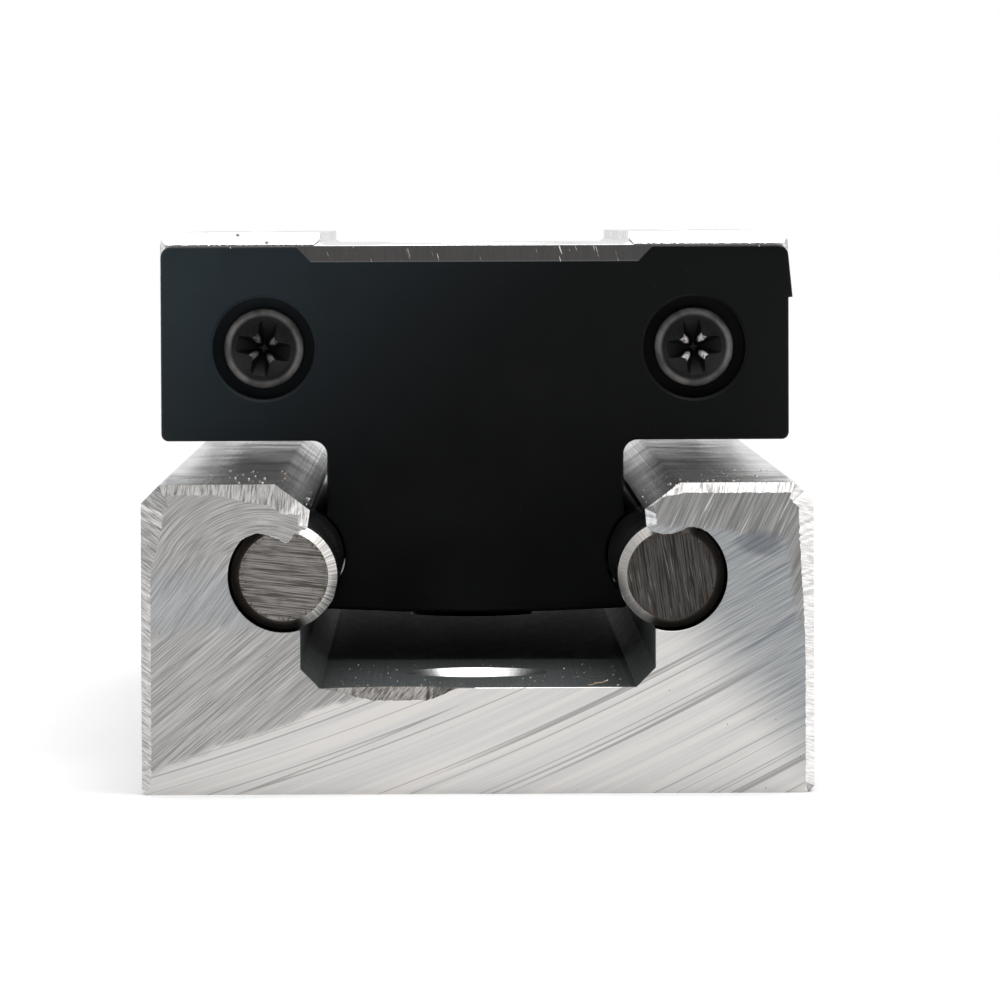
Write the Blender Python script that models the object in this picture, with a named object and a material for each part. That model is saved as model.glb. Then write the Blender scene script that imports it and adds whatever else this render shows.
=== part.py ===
"""Linear guide with two built-in shafts and a four-roller carriage.

Metres, +Z up.  X runs across the guide, +Y along it, Z away from the face it is
bolted down by.  The origin is the centre of the rail's bottom face.  Dimensions
below are millimetres; MM turns them into metres where a mesh is written.
"""

import math

import bmesh
import bpy
from mathutils import Matrix, Vector

MM = 0.001

# ---- Rail: a U-shaped extrusion that grips one round shaft in each side wall ----
RAIL_LENGTH = 244.0
RAIL_HALF = 31.25
RAIL_HEIGHT = 28.8
RAIL_TOP_CHAMFER = 1.75
RAIL_FOOT_CHAMFER = 0.6
CHANNEL_HALF = 16.5
FLOOR_Z = 9.87
FLOOR_CHAMFER = 1.8
LIP_TOP_X = 18.8
LIP_CORNER = (15.55, 26.4)
LIP_TIP_X = 16.3
SOCKET_RADIUS = 5.2
BOLT_PITCH = 100.0
BOLT_MOUTH_RADIUS = 6.8
BOLT_HOLE_RADIUS = 3.3

# ---- Shafts ----
ROD_X = 18.0
ROD_Z = 20.25
ROD_RADIUS = 5.0
ROD_RECESS = 0.6
ROD_CHAMFER = 0.83

# ---- Carriage ----
CARRIAGE_FRONT = -82.0
CAP_DEPTH = 8.0
JOINT_GAP = 0.3
BLOCK_LENGTH = 110.0
BLOCK_HALF = 31.3
NECK_HALF = 14.6
NECK_BOTTOM = 26.6
NECK_CHAMFER = 0.8
NECK_FILLET = 1.4
WING_BOTTOM = 31.55
WING_CHAMFER = 0.5
PAD_TOP = 52.05
PAD_INNER = 15.4
PAD_STEP = 1.0
PAD_SLOPE = 0.5
PAD_CHAMFER = 1.3
RELIEF_TOP = 50.75
PAD_HOLE_X = 23.0
PAD_HOLE_Y = 33.0
PAD_HOLE_RADIUS = 2.5
PAD_HOLE_DEPTH = 14.0
CARRIAGE_LENGTH = BLOCK_LENGTH + 2.0 * (CAP_DEPTH + JOINT_GAP)
CARRIAGE_BACK = CARRIAGE_FRONT + CARRIAGE_LENGTH
CARRIAGE_Y = CARRIAGE_FRONT + 0.5 * CARRIAGE_LENGTH

# ---- End caps ----
CAP_HALF = 30.9
CAP_TOP = 50.7
CAP_BOTTOM = 14.6
CAP_FOOT_RISE = 0.4
CAP_FOOT_HALF = 15.0
CAP_ARC = 5.4
CAP_TOP_CHAMFER = 1.1
CAP_WING_ROUND = 0.7
EAR_REACH = 0.4
EAR_LOW = 45.5
NOTCH_TOP_HALF = 17.6
NOTCH_LOW_HALF = 16.1
NOTCH_HEIGHT = 1.57
NOTCH_DEPTH = 1.4
CAP_BORE_RADIUS = 5.0
CAP_BORE_DEPTH = 3.3
CAP_HOLE_RADIUS = 2.4

# ---- Cap screws: pan head, cross recess ----
SCREW_X = (-20.8, 21.6)
SCREW_Z = 40.65
SCREW_SINK = 0.35
SCREW_HEAD_RADIUS = 3.95
SCREW_HEAD_HEIGHT = 2.7
SCREW_SHANK_RADIUS = 2.0
SCREW_LENGTH = 16.6
SCREW_HOLE_RADIUS = 2.3
RECESS_REACH = 2.9
RECESS_WIDTH = 1.6
RECESS_DEPTH = 2.0

# ---- Rollers: grooved ball-bearing wheels on upright studs ----
ROLLER_X = 3.5
ROLLER_RADIUS = 11.5
ROLLER_HALF = 5.0
ROLLER_CHAMFER = 0.3
GROOVE_RADIUS = 5.3
RING_BORE = 7.15
INNER_BORE = 4.0
INNER_RADIUS = 5.3
BALL_PITCH = 6.3
BALL_RADIUS = 1.2
BALLS = 8
RACE_RADIUS = 1.5
CAGE_RADII = (5.9, 6.7)
CAGE_HALF = 0.7
LEFT_ROLLER_Y = 40.0
RIGHT_ROLLER_Y = 13.5

# ---- Studs, spacers and nuts ----
STUD_RADIUS = 3.7
STUD_OFFSET = 0.5
STUD_HEAD_RADIUS = 5.6
STUD_HEAD_HEIGHT = 1.2
STUD_TOP = 50.0
STUD_SOCKET = 4.0
STUD_SOCKET_FLOOR = 46.5
SHANK_HOLE_RADIUS = 4.2
SPACER_RADIUS = 7.0
NUT_FLATS = 13.0
NUT_HEIGHT = 5.2
NUT_POCKET_FLOOR = 43.4
NUT_POCKET_RADIUS = 8.6

# How far a cutter runs past the faces it opens.
PAST = 1.0

# Stands an (x, y) outline up as (x, z), with its length along +Y.
ALONG_Y = Matrix(((1, 0, 0, 0), (0, 0, 1, 0), (0, 1, 0, 0), (0, 0, 0, 1)))


# ---------------------------------------------------------------- mesh helpers
def material(name, colour, roughness, metallic):
    made = bpy.data.materials.new(name)
    made.use_nodes = True
    shader = made.node_tree.nodes["Principled BSDF"]
    shader.inputs["Base Color"].default_value = (*colour, 1.0)
    shader.inputs["Roughness"].default_value = roughness
    shader.inputs["Metallic"].default_value = metallic
    made.diffuse_color = (*colour, 1.0)
    return made


def tilt(degrees):
    return Matrix.Rotation(math.radians(degrees), 4, "X")


def spin(angle):
    return Matrix.Rotation(angle, 4, "Z")


def add_lathe(bm, profile, segments, at=(0.0, 0.0, 0.0), turn=None):
    """Turns (radius, height) points about Z: a ring if no radius is 0, else a solid."""
    matrix = Matrix.Translation(at) @ (turn or Matrix.Identity(4))
    rings = []
    for radius, height in profile:
        if radius == 0.0:
            rings.append([bm.verts.new(matrix @ Vector((0.0, 0.0, height)))])
            continue
        ring = []
        for k in range(segments):
            angle = math.tau * k / segments
            point = Vector((radius * math.cos(angle), radius * math.sin(angle), height))
            ring.append(bm.verts.new(matrix @ point))
        rings.append(ring)
    pairs = list(zip(rings, rings[1:]))
    if all(radius > 0.0 for radius, _ in profile):
        pairs.append((rings[-1], rings[0]))
    for low, high in pairs:
        for k in range(segments):
            n = (k + 1) % segments
            if len(low) == 1:
                bm.faces.new((low[0], high[k], high[n]))
            elif len(high) == 1:
                bm.faces.new((low[k], high[0], low[n]))
            else:
                bm.faces.new((low[k], low[n], high[n], high[k]))


def add_prism(bm, outline, low, high, taper=1.0, at=(0.0, 0.0, 0.0), turn=None):
    """Raises an (x, y) outline from low to high along Z, its far end drawn in by taper."""
    matrix = Matrix.Translation(at) @ (turn or Matrix.Identity(4))
    near = [bm.verts.new(matrix @ Vector((x, y, low))) for x, y in outline]
    far = [bm.verts.new(matrix @ Vector((x * taper, y * taper, high))) for x, y in outline]
    bm.faces.new(near)
    bm.faces.new(far)
    for k in range(len(outline)):
        n = (k + 1) % len(outline)
        bm.faces.new((near[k], near[n], far[n], far[k]))


def to_mesh(name, bm):
    bmesh.ops.recalc_face_normals(bm, faces=bm.faces)
    bmesh.ops.scale(bm, vec=(MM, MM, MM), verts=bm.verts)
    mesh = bpy.data.meshes.new(name)
    bm.to_mesh(mesh)
    bm.free()
    return mesh


def lathe_mesh(name, profile, segments, at=(0.0, 0.0, 0.0), turn=None):
    bm = bmesh.new()
    add_lathe(bm, profile, segments, at, turn)
    return to_mesh(name, bm)


def place(name, mesh, look, at=(0.0, 0.0, 0.0), turn=None, smooth=False):
    """One named piece, its origin at a point in millimetres."""
    piece = bpy.data.objects.new(name, mesh)
    bpy.context.scene.collection.objects.link(piece)
    piece.location = Vector(at) * MM
    if turn:
        piece.rotation_euler = turn.to_euler()
    if not mesh.materials:
        mesh.materials.append(look)
    if smooth:
        mesh.shade_smooth()
        mesh.set_sharp_from_angle(angle=math.radians(32))
    return piece


def combine(piece, name, mesh, operation):
    """Cuts or joins a helper shape, given in the piece's own space."""
    helper = bpy.data.objects.new(name, mesh)
    bpy.context.scene.collection.objects.link(helper)
    helper.parent = piece
    helper.hide_render = True
    helper.display_type = "WIRE"
    step = piece.modifiers.new(name, "BOOLEAN")
    step.operation = operation
    step.solver = "EXACT"
    step.object = helper


def arc(centre, radius, start, end, steps):
    """Points from one angle to another, in degrees, both ends included."""
    points = []
    for k in range(steps + 1):
        angle = math.radians(start + (end - start) * k / steps)
        x = centre[0] + radius * math.cos(angle)
        z = centre[1] + radius * math.sin(angle)
        points.append((x, z))
    return points


def angle_at(x, centre_x, radius):
    """Angle, in degrees, at which a circle passes x on its upper half."""
    return math.degrees(math.acos((x - centre_x) / radius))


def with_left_half(right):
    """Closes a right-hand outline, drawn bottom to top, with its left-hand twin."""
    return right + [(-x, z) for x, z in reversed(right) if x > 0.0]


def hexagon(across_flats):
    return arc((0.0, 0.0), across_flats / math.sqrt(3.0), 0.0, 300.0, 5)


# ---------------------------------------------------------------- rail and shafts
def rail_outline():
    upper = angle_at(LIP_TIP_X, ROD_X, SOCKET_RADIUS)
    lower = -angle_at(CHANNEL_HALF, ROD_X, SOCKET_RADIUS)
    right = [
        (0.0, 0.0),
        (RAIL_HALF - RAIL_FOOT_CHAMFER, 0.0),
        (RAIL_HALF, RAIL_FOOT_CHAMFER),
        (RAIL_HALF, RAIL_HEIGHT - RAIL_TOP_CHAMFER),
        (RAIL_HALF - RAIL_TOP_CHAMFER, RAIL_HEIGHT),
        (LIP_TOP_X, RAIL_HEIGHT),
        LIP_CORNER,
    ]
    right += arc((ROD_X, ROD_Z), SOCKET_RADIUS, upper, lower, 22)
    right.append((CHANNEL_HALF, FLOOR_Z + FLOOR_CHAMFER))
    right.append((CHANNEL_HALF - FLOOR_CHAMFER, FLOOR_Z))
    return with_left_half(right)


def build_rail(look):
    bm = bmesh.new()
    half = 0.5 * RAIL_LENGTH
    add_prism(bm, rail_outline(), -half, half, turn=ALONG_Y)
    rail = place("rail_extrusion", to_mesh("rail_extrusion", bm), look)

    # Countersunk bolt holes on the centreline, one pitch apart.
    profile = [
        (0.0, -PAST),
        (BOLT_HOLE_RADIUS, -PAST),
        (BOLT_HOLE_RADIUS, FLOOR_Z + BOLT_HOLE_RADIUS - BOLT_MOUTH_RADIUS),
        (BOLT_MOUTH_RADIUS + PAST, FLOOR_Z + PAST),
        (0.0, FLOOR_Z + PAST),
    ]
    bm = bmesh.new()
    for y in (-BOLT_PITCH, 0.0, BOLT_PITCH):
        add_lathe(bm, profile, 24, at=(0.0, y, 0.0))
    combine(rail, "rail_bolt_holes", to_mesh("rail_bolt_holes", bm), "DIFFERENCE")


def build_rods(look):
    """Each shaft stops a little short of the extrusion at both ends."""
    reach = 0.5 * RAIL_LENGTH - ROD_RECESS
    face = ROD_RADIUS - ROD_CHAMFER
    shoulder = reach - ROD_CHAMFER
    profile = [(0.0, -reach), (face, -reach), (ROD_RADIUS, -shoulder)]
    profile += [(ROD_RADIUS, shoulder), (face, reach), (0.0, reach)]
    rod = lathe_mesh("rod", profile, 28, turn=tilt(90))
    place("rod_left", rod, look, at=(-ROD_X, 0.0, ROD_Z), smooth=True)
    place("rod_right", rod, look, at=(ROD_X, 0.0, ROD_Z), smooth=True)


# ---------------------------------------------------------------- carriage block
def stations():
    """Name, roller axis x, stud shank x and y of each roller.

    The right-hand studs are eccentric, so that the play can be taken up.
    """
    shank = ROLLER_X - STUD_OFFSET
    return (
        ("roller_1", -ROLLER_X, -ROLLER_X, CARRIAGE_Y - LEFT_ROLLER_Y),
        ("roller_2", -ROLLER_X, -ROLLER_X, CARRIAGE_Y + LEFT_ROLLER_Y),
        ("roller_3", ROLLER_X, shank, CARRIAGE_Y - RIGHT_ROLLER_Y),
        ("roller_4", ROLLER_X, shank, CARRIAGE_Y + RIGHT_ROLLER_Y),
    )


def block_outline():
    right = [
        (0.0, NECK_BOTTOM),
        (NECK_HALF - NECK_CHAMFER, NECK_BOTTOM),
        (NECK_HALF, NECK_BOTTOM + NECK_CHAMFER),
    ]
    right += neck_fillet()
    right += [
        (BLOCK_HALF - WING_CHAMFER, WING_BOTTOM),
        (BLOCK_HALF, WING_BOTTOM + WING_CHAMFER),
        (BLOCK_HALF, PAD_TOP - PAD_CHAMFER),
        (BLOCK_HALF - PAD_CHAMFER, PAD_TOP),
        (PAD_INNER, PAD_TOP),
        (PAD_INNER, PAD_TOP - PAD_STEP),
        (PAD_INNER - PAD_SLOPE, RELIEF_TOP),
    ]
    return with_left_half(right)


def neck_fillet():
    centre = (NECK_HALF + NECK_FILLET, WING_BOTTOM - NECK_FILLET)
    return arc(centre, NECK_FILLET, 180.0, 90.0, 4)


def add_stud_holes(bm):
    """A clearance hole for each stud, opening into a round pocket for its nut."""
    profile = [
        (0.0, NECK_BOTTOM - PAST),
        (SHANK_HOLE_RADIUS, NECK_BOTTOM - PAST),
        (SHANK_HOLE_RADIUS, NUT_POCKET_FLOOR),
        (NUT_POCKET_RADIUS, NUT_POCKET_FLOOR),
        (NUT_POCKET_RADIUS, RELIEF_TOP + PAST),
        (0.0, RELIEF_TOP + PAST),
    ]
    for _, _, shank_x, y in stations():
        add_lathe(bm, profile, 20, at=(shank_x, y - CARRIAGE_Y, -ROD_Z))


def add_pad_holes(bm):
    """Tapped holes in the pads, for whatever the carriage carries."""
    profile = [
        (0.0, PAD_TOP - PAD_HOLE_DEPTH - 0.6 * PAD_HOLE_RADIUS),
        (PAD_HOLE_RADIUS, PAD_TOP - PAD_HOLE_DEPTH),
        (PAD_HOLE_RADIUS, PAD_TOP - 0.7),
        (PAD_HOLE_RADIUS + 0.7 + PAST, PAD_TOP + PAST),
        (0.0, PAD_TOP + PAST),
    ]
    for x in (-PAD_HOLE_X, PAD_HOLE_X):
        for y in (-PAD_HOLE_Y, PAD_HOLE_Y):
            add_lathe(bm, profile, 14, at=(x, y, -ROD_Z))


def add_end_holes(bm):
    """Tapped holes in both ends, for the cap screws."""
    half = 0.5 * BLOCK_LENGTH
    profile = [
        (0.0, half - 14.0),
        (SCREW_HOLE_RADIUS, half - 13.0),
        (SCREW_HOLE_RADIUS, half + PAST),
        (0.0, half + PAST),
    ]
    for x in SCREW_X:
        add_lathe(bm, profile, 12, at=(x, 0.0, SCREW_Z - ROD_Z), turn=tilt(90))
        add_lathe(bm, profile, 12, at=(-x, 0.0, SCREW_Z - ROD_Z), turn=tilt(-90))


def build_block(look):
    """The block's own origin is the middle of the carriage, level with the shafts."""
    bm = bmesh.new()
    half = 0.5 * BLOCK_LENGTH
    outline = [(x, z - ROD_Z) for x, z in block_outline()]
    add_prism(bm, outline, -half, half, turn=ALONG_Y)
    at = (0.0, CARRIAGE_Y, ROD_Z)
    block = place("carriage_block", to_mesh("carriage_block", bm), look, at=at)
    bm = bmesh.new()
    add_stud_holes(bm)
    add_pad_holes(bm)
    add_end_holes(bm)
    combine(block, "block_holes", to_mesh("block_holes", bm), "DIFFERENCE")


# ---------------------------------------------------------------- end caps
def cap_outline():
    """The cap clears both shafts by round cheeks, and has a small ear on one side."""
    foot = 360.0 - angle_at(CAP_FOOT_HALF, ROD_X, CAP_ARC)
    neck = angle_at(NECK_HALF, ROD_X, CAP_ARC)
    wing = (CAP_HALF - CAP_WING_ROUND, WING_BOTTOM + CAP_WING_ROUND)
    crown = (CAP_HALF - CAP_TOP_CHAMFER, CAP_TOP - CAP_TOP_CHAMFER)
    low = CAP_BOTTOM + CAP_FOOT_RISE
    side = [(0.5 * CAP_FOOT_HALF, CAP_BOTTOM + 0.25 * CAP_FOOT_RISE)]
    side += [(CAP_FOOT_HALF - 0.4, low), (CAP_FOOT_HALF, low + 0.4)]
    side += arc((ROD_X, ROD_Z), CAP_ARC, foot, neck, 14)
    side += neck_fillet()
    side += arc(wing, CAP_WING_ROUND, -90.0, 0.0, 2)
    top = arc(crown, CAP_TOP_CHAMFER, 0.0, 90.0, 2)
    ear = [(CAP_HALF, EAR_LOW), (CAP_HALF + EAR_REACH, EAR_LOW)]
    left = [(-x, z) for x, z in reversed(side + top)]
    return [(0.0, CAP_BOTTOM)] + side + ear + top + left


def cap_cutters():
    """Counterbored screw holes, and a sloping notch in the middle of the top edge."""
    profile = [
        (0.0, -PAST),
        (CAP_BORE_RADIUS, -PAST),
        (CAP_BORE_RADIUS, CAP_BORE_DEPTH),
        (CAP_HOLE_RADIUS, CAP_BORE_DEPTH),
        (CAP_HOLE_RADIUS, CAP_DEPTH + PAST),
        (0.0, CAP_DEPTH + PAST),
    ]
    bm = bmesh.new()
    for x in SCREW_X:
        add_lathe(bm, profile, 24, at=(x, 0.0, SCREW_Z), turn=tilt(-90))

    # The notch's lower edge lies on the outer face and its upper edge on the top.
    flare = (NOTCH_TOP_HALF - NOTCH_LOW_HALF) / NOTCH_HEIGHT
    slope = NOTCH_DEPTH / NOTCH_HEIGHT
    low = CAP_TOP - NOTCH_HEIGHT - PAST
    high = CAP_TOP + PAST
    near = -PAST * slope
    far = NOTCH_DEPTH + PAST * slope
    low_half = NOTCH_LOW_HALF - PAST * flare
    high_half = NOTCH_TOP_HALF + PAST * flare
    a, b, c, d, e, f = [
        bm.verts.new(point)
        for point in (
            (-low_half, near, low),
            (low_half, near, low),
            (high_half, near, high),
            (-high_half, near, high),
            (high_half, far, high),
            (-high_half, far, high),
        )
    ]
    for corners in ((a, b, c, d), (a, f, e, b), (d, c, e, f), (b, e, c), (a, d, f)):
        bm.faces.new(corners)
    return to_mesh("cap_cuts", bm)


def build_caps(look):
    """The rear cap is the front cap's moulding turned to face the other way."""
    bm = bmesh.new()
    add_prism(bm, cap_outline(), 0.0, CAP_DEPTH, turn=ALONG_Y)
    mesh = to_mesh("end_cap", bm)
    cuts = cap_cutters()
    front = place("front_end_cap", mesh, look, at=(0.0, CARRIAGE_FRONT, 0.0))
    combine(front, "front_cap_cuts", cuts, "DIFFERENCE")
    at = (0.0, CARRIAGE_BACK, 0.0)
    rear = place("rear_end_cap", mesh, look, at=at, turn=spin(math.pi))
    combine(rear, "rear_cap_cuts", cuts, "DIFFERENCE")


def recess_outline():
    """Outline of the screw head's four-armed driver recess."""
    half = 0.5 * RECESS_WIDTH
    points = []
    for k in range(4):
        for x, y in ((RECESS_REACH, -half), (RECESS_REACH, half), (half, half)):
            point = spin(0.5 * math.pi * k) @ Vector((x, y, 0.0))
            points.append((point.x, point.y))
    return points


def build_screws(look):
    """Each screw is turned about Z with its head up, then laid along the guide."""
    profile = [
        (0.0, -SCREW_LENGTH),
        (0.7 * SCREW_SHANK_RADIUS, -SCREW_LENGTH),
        (SCREW_SHANK_RADIUS, 0.7 - SCREW_LENGTH),
        (SCREW_SHANK_RADIUS, -SCREW_HEAD_HEIGHT),
        (SCREW_HEAD_RADIUS, -SCREW_HEAD_HEIGHT),
        (SCREW_HEAD_RADIUS, -1.2),
        (0.82 * SCREW_HEAD_RADIUS, -0.35),
        (0.5 * SCREW_HEAD_RADIUS, -0.05),
        (0.0, 0.0),
    ]
    mesh = lathe_mesh("cap_screw", profile, 16)
    bm = bmesh.new()
    add_prism(bm, recess_outline(), 0.6, -RECESS_DEPTH, taper=0.45)
    recess = to_mesh("cap_screw_recess", bm)
    left, right = SCREW_X
    front = CARRIAGE_FRONT + SCREW_SINK
    rear = CARRIAGE_BACK - SCREW_SINK
    places = (
        ("front_screw_left", left, front, 90, 22),
        ("front_screw_right", right, front, 90, 8),
        ("rear_screw_left", -left, rear, -90, 31),
        ("rear_screw_right", -right, rear, -90, 67),
    )
    for name, x, y, lean, twist in places:
        turn = tilt(lean) @ spin(math.radians(twist))
        screw = place(name, mesh, look, at=(x, y, SCREW_Z), turn=turn, smooth=True)
        combine(screw, name + "_recess", recess, "DIFFERENCE")


# ---------------------------------------------------------------- rollers
def ring_mesh():
    """Outer ring: a groove outside for the shaft, a ball race inside."""
    reach = ROD_X - ROLLER_X
    edge = angle_at(ROLLER_RADIUS, reach, GROOVE_RADIUS)
    corner = ROLLER_RADIUS - ROLLER_CHAMFER
    profile = [(RING_BORE, -ROLLER_HALF), (corner, -ROLLER_HALF)]
    profile += [(ROLLER_RADIUS, ROLLER_CHAMFER - ROLLER_HALF)]
    profile += arc((reach, 0.0), GROOVE_RADIUS, 360.0 - edge, edge, 6)
    profile += [(ROLLER_RADIUS, ROLLER_HALF - ROLLER_CHAMFER)]
    profile += [(corner, ROLLER_HALF), (RING_BORE, ROLLER_HALF)]
    profile += arc((BALL_PITCH, 0.0), RACE_RADIUS, 50.0, -50.0, 3)
    return lathe_mesh("roller_ring", profile, 24)


def inner_mesh():
    profile = [(INNER_BORE, ROLLER_HALF), (INNER_BORE, -ROLLER_HALF)]
    profile += [(INNER_RADIUS, -ROLLER_HALF)]
    profile += arc((BALL_PITCH, 0.0), RACE_RADIUS, 230.0, 130.0, 3)
    profile += [(INNER_RADIUS, ROLLER_HALF)]
    return lathe_mesh("roller_inner", profile, 16)


def balls_mesh():
    bm = bmesh.new()
    profile = [(0.0, -BALL_RADIUS)]
    profile += arc((0.0, 0.0), BALL_RADIUS, -45.0, 45.0, 2)
    profile += [(0.0, BALL_RADIUS)]
    for k in range(BALLS):
        angle = math.tau * (k + 0.5) / BALLS
        at = (BALL_PITCH * math.cos(angle), BALL_PITCH * math.sin(angle), 0.0)
        add_lathe(bm, profile, 6, at=at, turn=spin(angle))
    return to_mesh("roller_balls", bm)


def spacer_mesh():
    low = ROLLER_HALF + JOINT_GAP
    high = NECK_BOTTOM - JOINT_GAP - ROD_Z
    bore = INNER_BORE + 0.1
    profile = [(bore, low), (INNER_RADIUS + 0.6, low), (SPACER_RADIUS, high - 0.25)]
    profile += [(SPACER_RADIUS, high), (bore, high)]
    return lathe_mesh("roller_spacer", profile, 16)


def build_stud(name, look, x, shank_x, y):
    """Roller pin with a round head below, joined to a shank up through the block."""
    low = ROD_Z - ROLLER_HALF - JOINT_GAP
    foot = low - STUD_HEAD_HEIGHT
    step = NECK_BOTTOM - 0.5 * JOINT_GAP
    profile = [
        (0.0, foot),
        (STUD_HEAD_RADIUS - 0.4, foot),
        (STUD_HEAD_RADIUS, foot + 0.4),
        (STUD_HEAD_RADIUS, low),
        (STUD_RADIUS, low),
        (STUD_RADIUS, step),
        (0.0, step),
    ]
    pin = lathe_mesh(name, profile, 16, at=(0.0, 0.0, -ROD_Z))
    stud = place(name, pin, look, at=(x, y, ROD_Z), smooth=True)

    # The shank is a hair thinner than the pin, so that their sides never coincide.
    over = (shank_x - x, 0.0, -ROD_Z)
    thin = STUD_RADIUS - 0.02
    profile = [
        (0.0, step - 0.1),
        (thin, step - 0.1),
        (thin, STUD_TOP - 0.7),
        (thin - 0.7, STUD_TOP),
        (0.0, STUD_TOP),
    ]
    combine(stud, name + "_shank", lathe_mesh(name + "_shank", profile, 16, at=over), "UNION")

    # Hexagon socket in the top end, for holding or setting the stud.
    bm = bmesh.new()
    add_prism(bm, hexagon(STUD_SOCKET), STUD_SOCKET_FLOOR, STUD_TOP + PAST, at=over)
    combine(stud, name + "_socket", to_mesh(name + "_socket", bm), "DIFFERENCE")


def nut_meshes():
    """A turned ring with chamfered corners, and the hexagon it is trimmed to."""
    low = NUT_POCKET_FLOOR + JOINT_GAP - ROD_Z
    high = low + NUT_HEIGHT
    corner = NUT_FLATS / math.sqrt(3.0)
    profile = [(INNER_BORE, low), (corner - 0.6, low), (corner, low + 0.5)]
    profile += [(corner, high - 0.5), (corner - 0.6, high), (INNER_BORE, high)]
    bm = bmesh.new()
    add_prism(bm, hexagon(NUT_FLATS), low - PAST, high + PAST)
    return lathe_mesh("roller_nut", profile, 18), to_mesh("roller_nut_trim", bm)


def build_rollers(looks):
    ring = ring_mesh()
    inner = inner_mesh()
    spacer = spacer_mesh()
    balls = balls_mesh()
    nut, trim = nut_meshes()
    low, high = -CAGE_HALF, CAGE_HALF
    inside, outside = CAGE_RADII
    band = [(inside, low), (outside, low), (outside, high), (inside, high)]
    cage = lathe_mesh("roller_cage", band, 16)
    for name, x, shank_x, y in stations():
        at = (x, y, ROD_Z)
        place(name + "_ring", ring, looks["ring"], at=at, smooth=True)
        place(name + "_inner", inner, looks["inner"], at=at, smooth=True)
        caged = place(name + "_cage", cage, looks["cage"], at=at, smooth=True)
        combine(caged, name + "_balls", balls, "UNION")
        build_stud(name + "_stud", looks["stud"], x, shank_x, y)
        place(name + "_spacer", spacer, looks["spacer"], at=at, smooth=True)
        hexed = place(name + "_nut", nut, looks["nut"], at=(shank_x, y, ROD_Z))
        combine(hexed, name + "_nut_trim", trim, "INTERSECT")


def main():
    for old in list(bpy.data.objects):
        bpy.data.objects.remove(old, do_unlink=True)
    build_rail(material("anodised_aluminium", (0.62, 0.63, 0.64), 0.38, 1.0))
    build_rods(material("ground_shaft_steel", (0.42, 0.40, 0.38), 0.24, 1.0))
    build_block(material("milled_aluminium", (0.74, 0.74, 0.73), 0.34, 1.0))
    build_caps(material("black_plastic", (0.012, 0.013, 0.015), 0.5, 0.0))
    build_screws(material("black_screw_steel", (0.03, 0.03, 0.032), 0.36, 0.7))
    looks = {
        "ring": material("bearing_ring_steel", (0.50, 0.50, 0.50), 0.18, 1.0),
        "inner": material("bearing_inner_steel", (0.52, 0.52, 0.52), 0.2, 1.0),
        "cage": material("ball_and_cage_steel", (0.56, 0.55, 0.52), 0.25, 1.0),
        "stud": material("stud_steel", (0.24, 0.24, 0.25), 0.35, 1.0),
        "spacer": material("spacer_steel", (0.48, 0.48, 0.47), 0.32, 1.0),
        "nut": material("zinc_plated_steel", (0.58, 0.59, 0.60), 0.3, 1.0),
    }
    build_rollers(looks)


main()
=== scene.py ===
"""Looks for the linear guide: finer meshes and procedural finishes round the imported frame.

Lengths are millimetres until a mesh is written, when MM turns them into metres.
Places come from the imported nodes' boxes; the shape numbers below repeat the part's.
"""

import math
import random

import bmesh
import bpy
from mathutils import Matrix, Vector, noise


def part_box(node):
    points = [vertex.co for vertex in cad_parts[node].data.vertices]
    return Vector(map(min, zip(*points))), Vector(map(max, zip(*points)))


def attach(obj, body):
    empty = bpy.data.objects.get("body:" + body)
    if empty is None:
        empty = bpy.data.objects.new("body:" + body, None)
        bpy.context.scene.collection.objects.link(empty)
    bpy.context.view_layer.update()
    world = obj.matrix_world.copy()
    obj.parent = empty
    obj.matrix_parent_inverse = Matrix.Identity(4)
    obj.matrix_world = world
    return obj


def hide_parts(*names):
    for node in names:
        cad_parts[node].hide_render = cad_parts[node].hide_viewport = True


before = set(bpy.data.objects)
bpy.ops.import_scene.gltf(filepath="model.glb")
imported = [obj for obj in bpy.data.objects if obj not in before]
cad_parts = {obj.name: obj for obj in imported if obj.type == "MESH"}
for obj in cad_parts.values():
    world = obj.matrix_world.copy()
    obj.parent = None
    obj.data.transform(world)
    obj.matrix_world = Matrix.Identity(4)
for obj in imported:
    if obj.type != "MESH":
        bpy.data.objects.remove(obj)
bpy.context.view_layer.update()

MM = 0.001


def node_box(node):
    """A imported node's lowest and highest corners, in millimetres."""
    low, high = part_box(node)
    return low / MM, high / MM


def node_centre(node):
    low, high = node_box(node)
    return 0.5 * (low + high)


RAIL_LOW, RAIL_HIGH = node_box("rail_extrusion")
ROD_LOW, ROD_HIGH = node_box("rod_right")
CAP_LOW, CAP_HIGH = node_box("front_end_cap")
BLOCK_LOW, BLOCK_HIGH = node_box("carriage_block")

# ---- Rail ----
RAIL_HALF = RAIL_HIGH.x
RAIL_TOP = RAIL_HIGH.z
RAIL_END = RAIL_HIGH.y
TOP_CHAMFER = 1.75
FOOT_CHAMFER = 0.6
CHANNEL_HALF = 16.5
FLOOR_Z = 9.87
FLOOR_CHAMFER = 1.8
LIP_TOP_X = 18.8
LIP_CORNER = (15.55, 26.4)
LIP_TIP_X = 16.3
SOCKET_RADIUS = 5.2
BOLT_PITCH = 100.0
BOLT_MOUTH_RADIUS = 6.8
BOLT_HOLE_RADIUS = 3.3

# ---- Shafts ----
ROD_RADIUS = 0.5 * (ROD_HIGH.z - ROD_LOW.z)
ROD = (0.5 * (ROD_LOW.x + ROD_HIGH.x), 0.5 * (ROD_LOW.z + ROD_HIGH.z))
ROD_CHAMFER = 0.83

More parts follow.
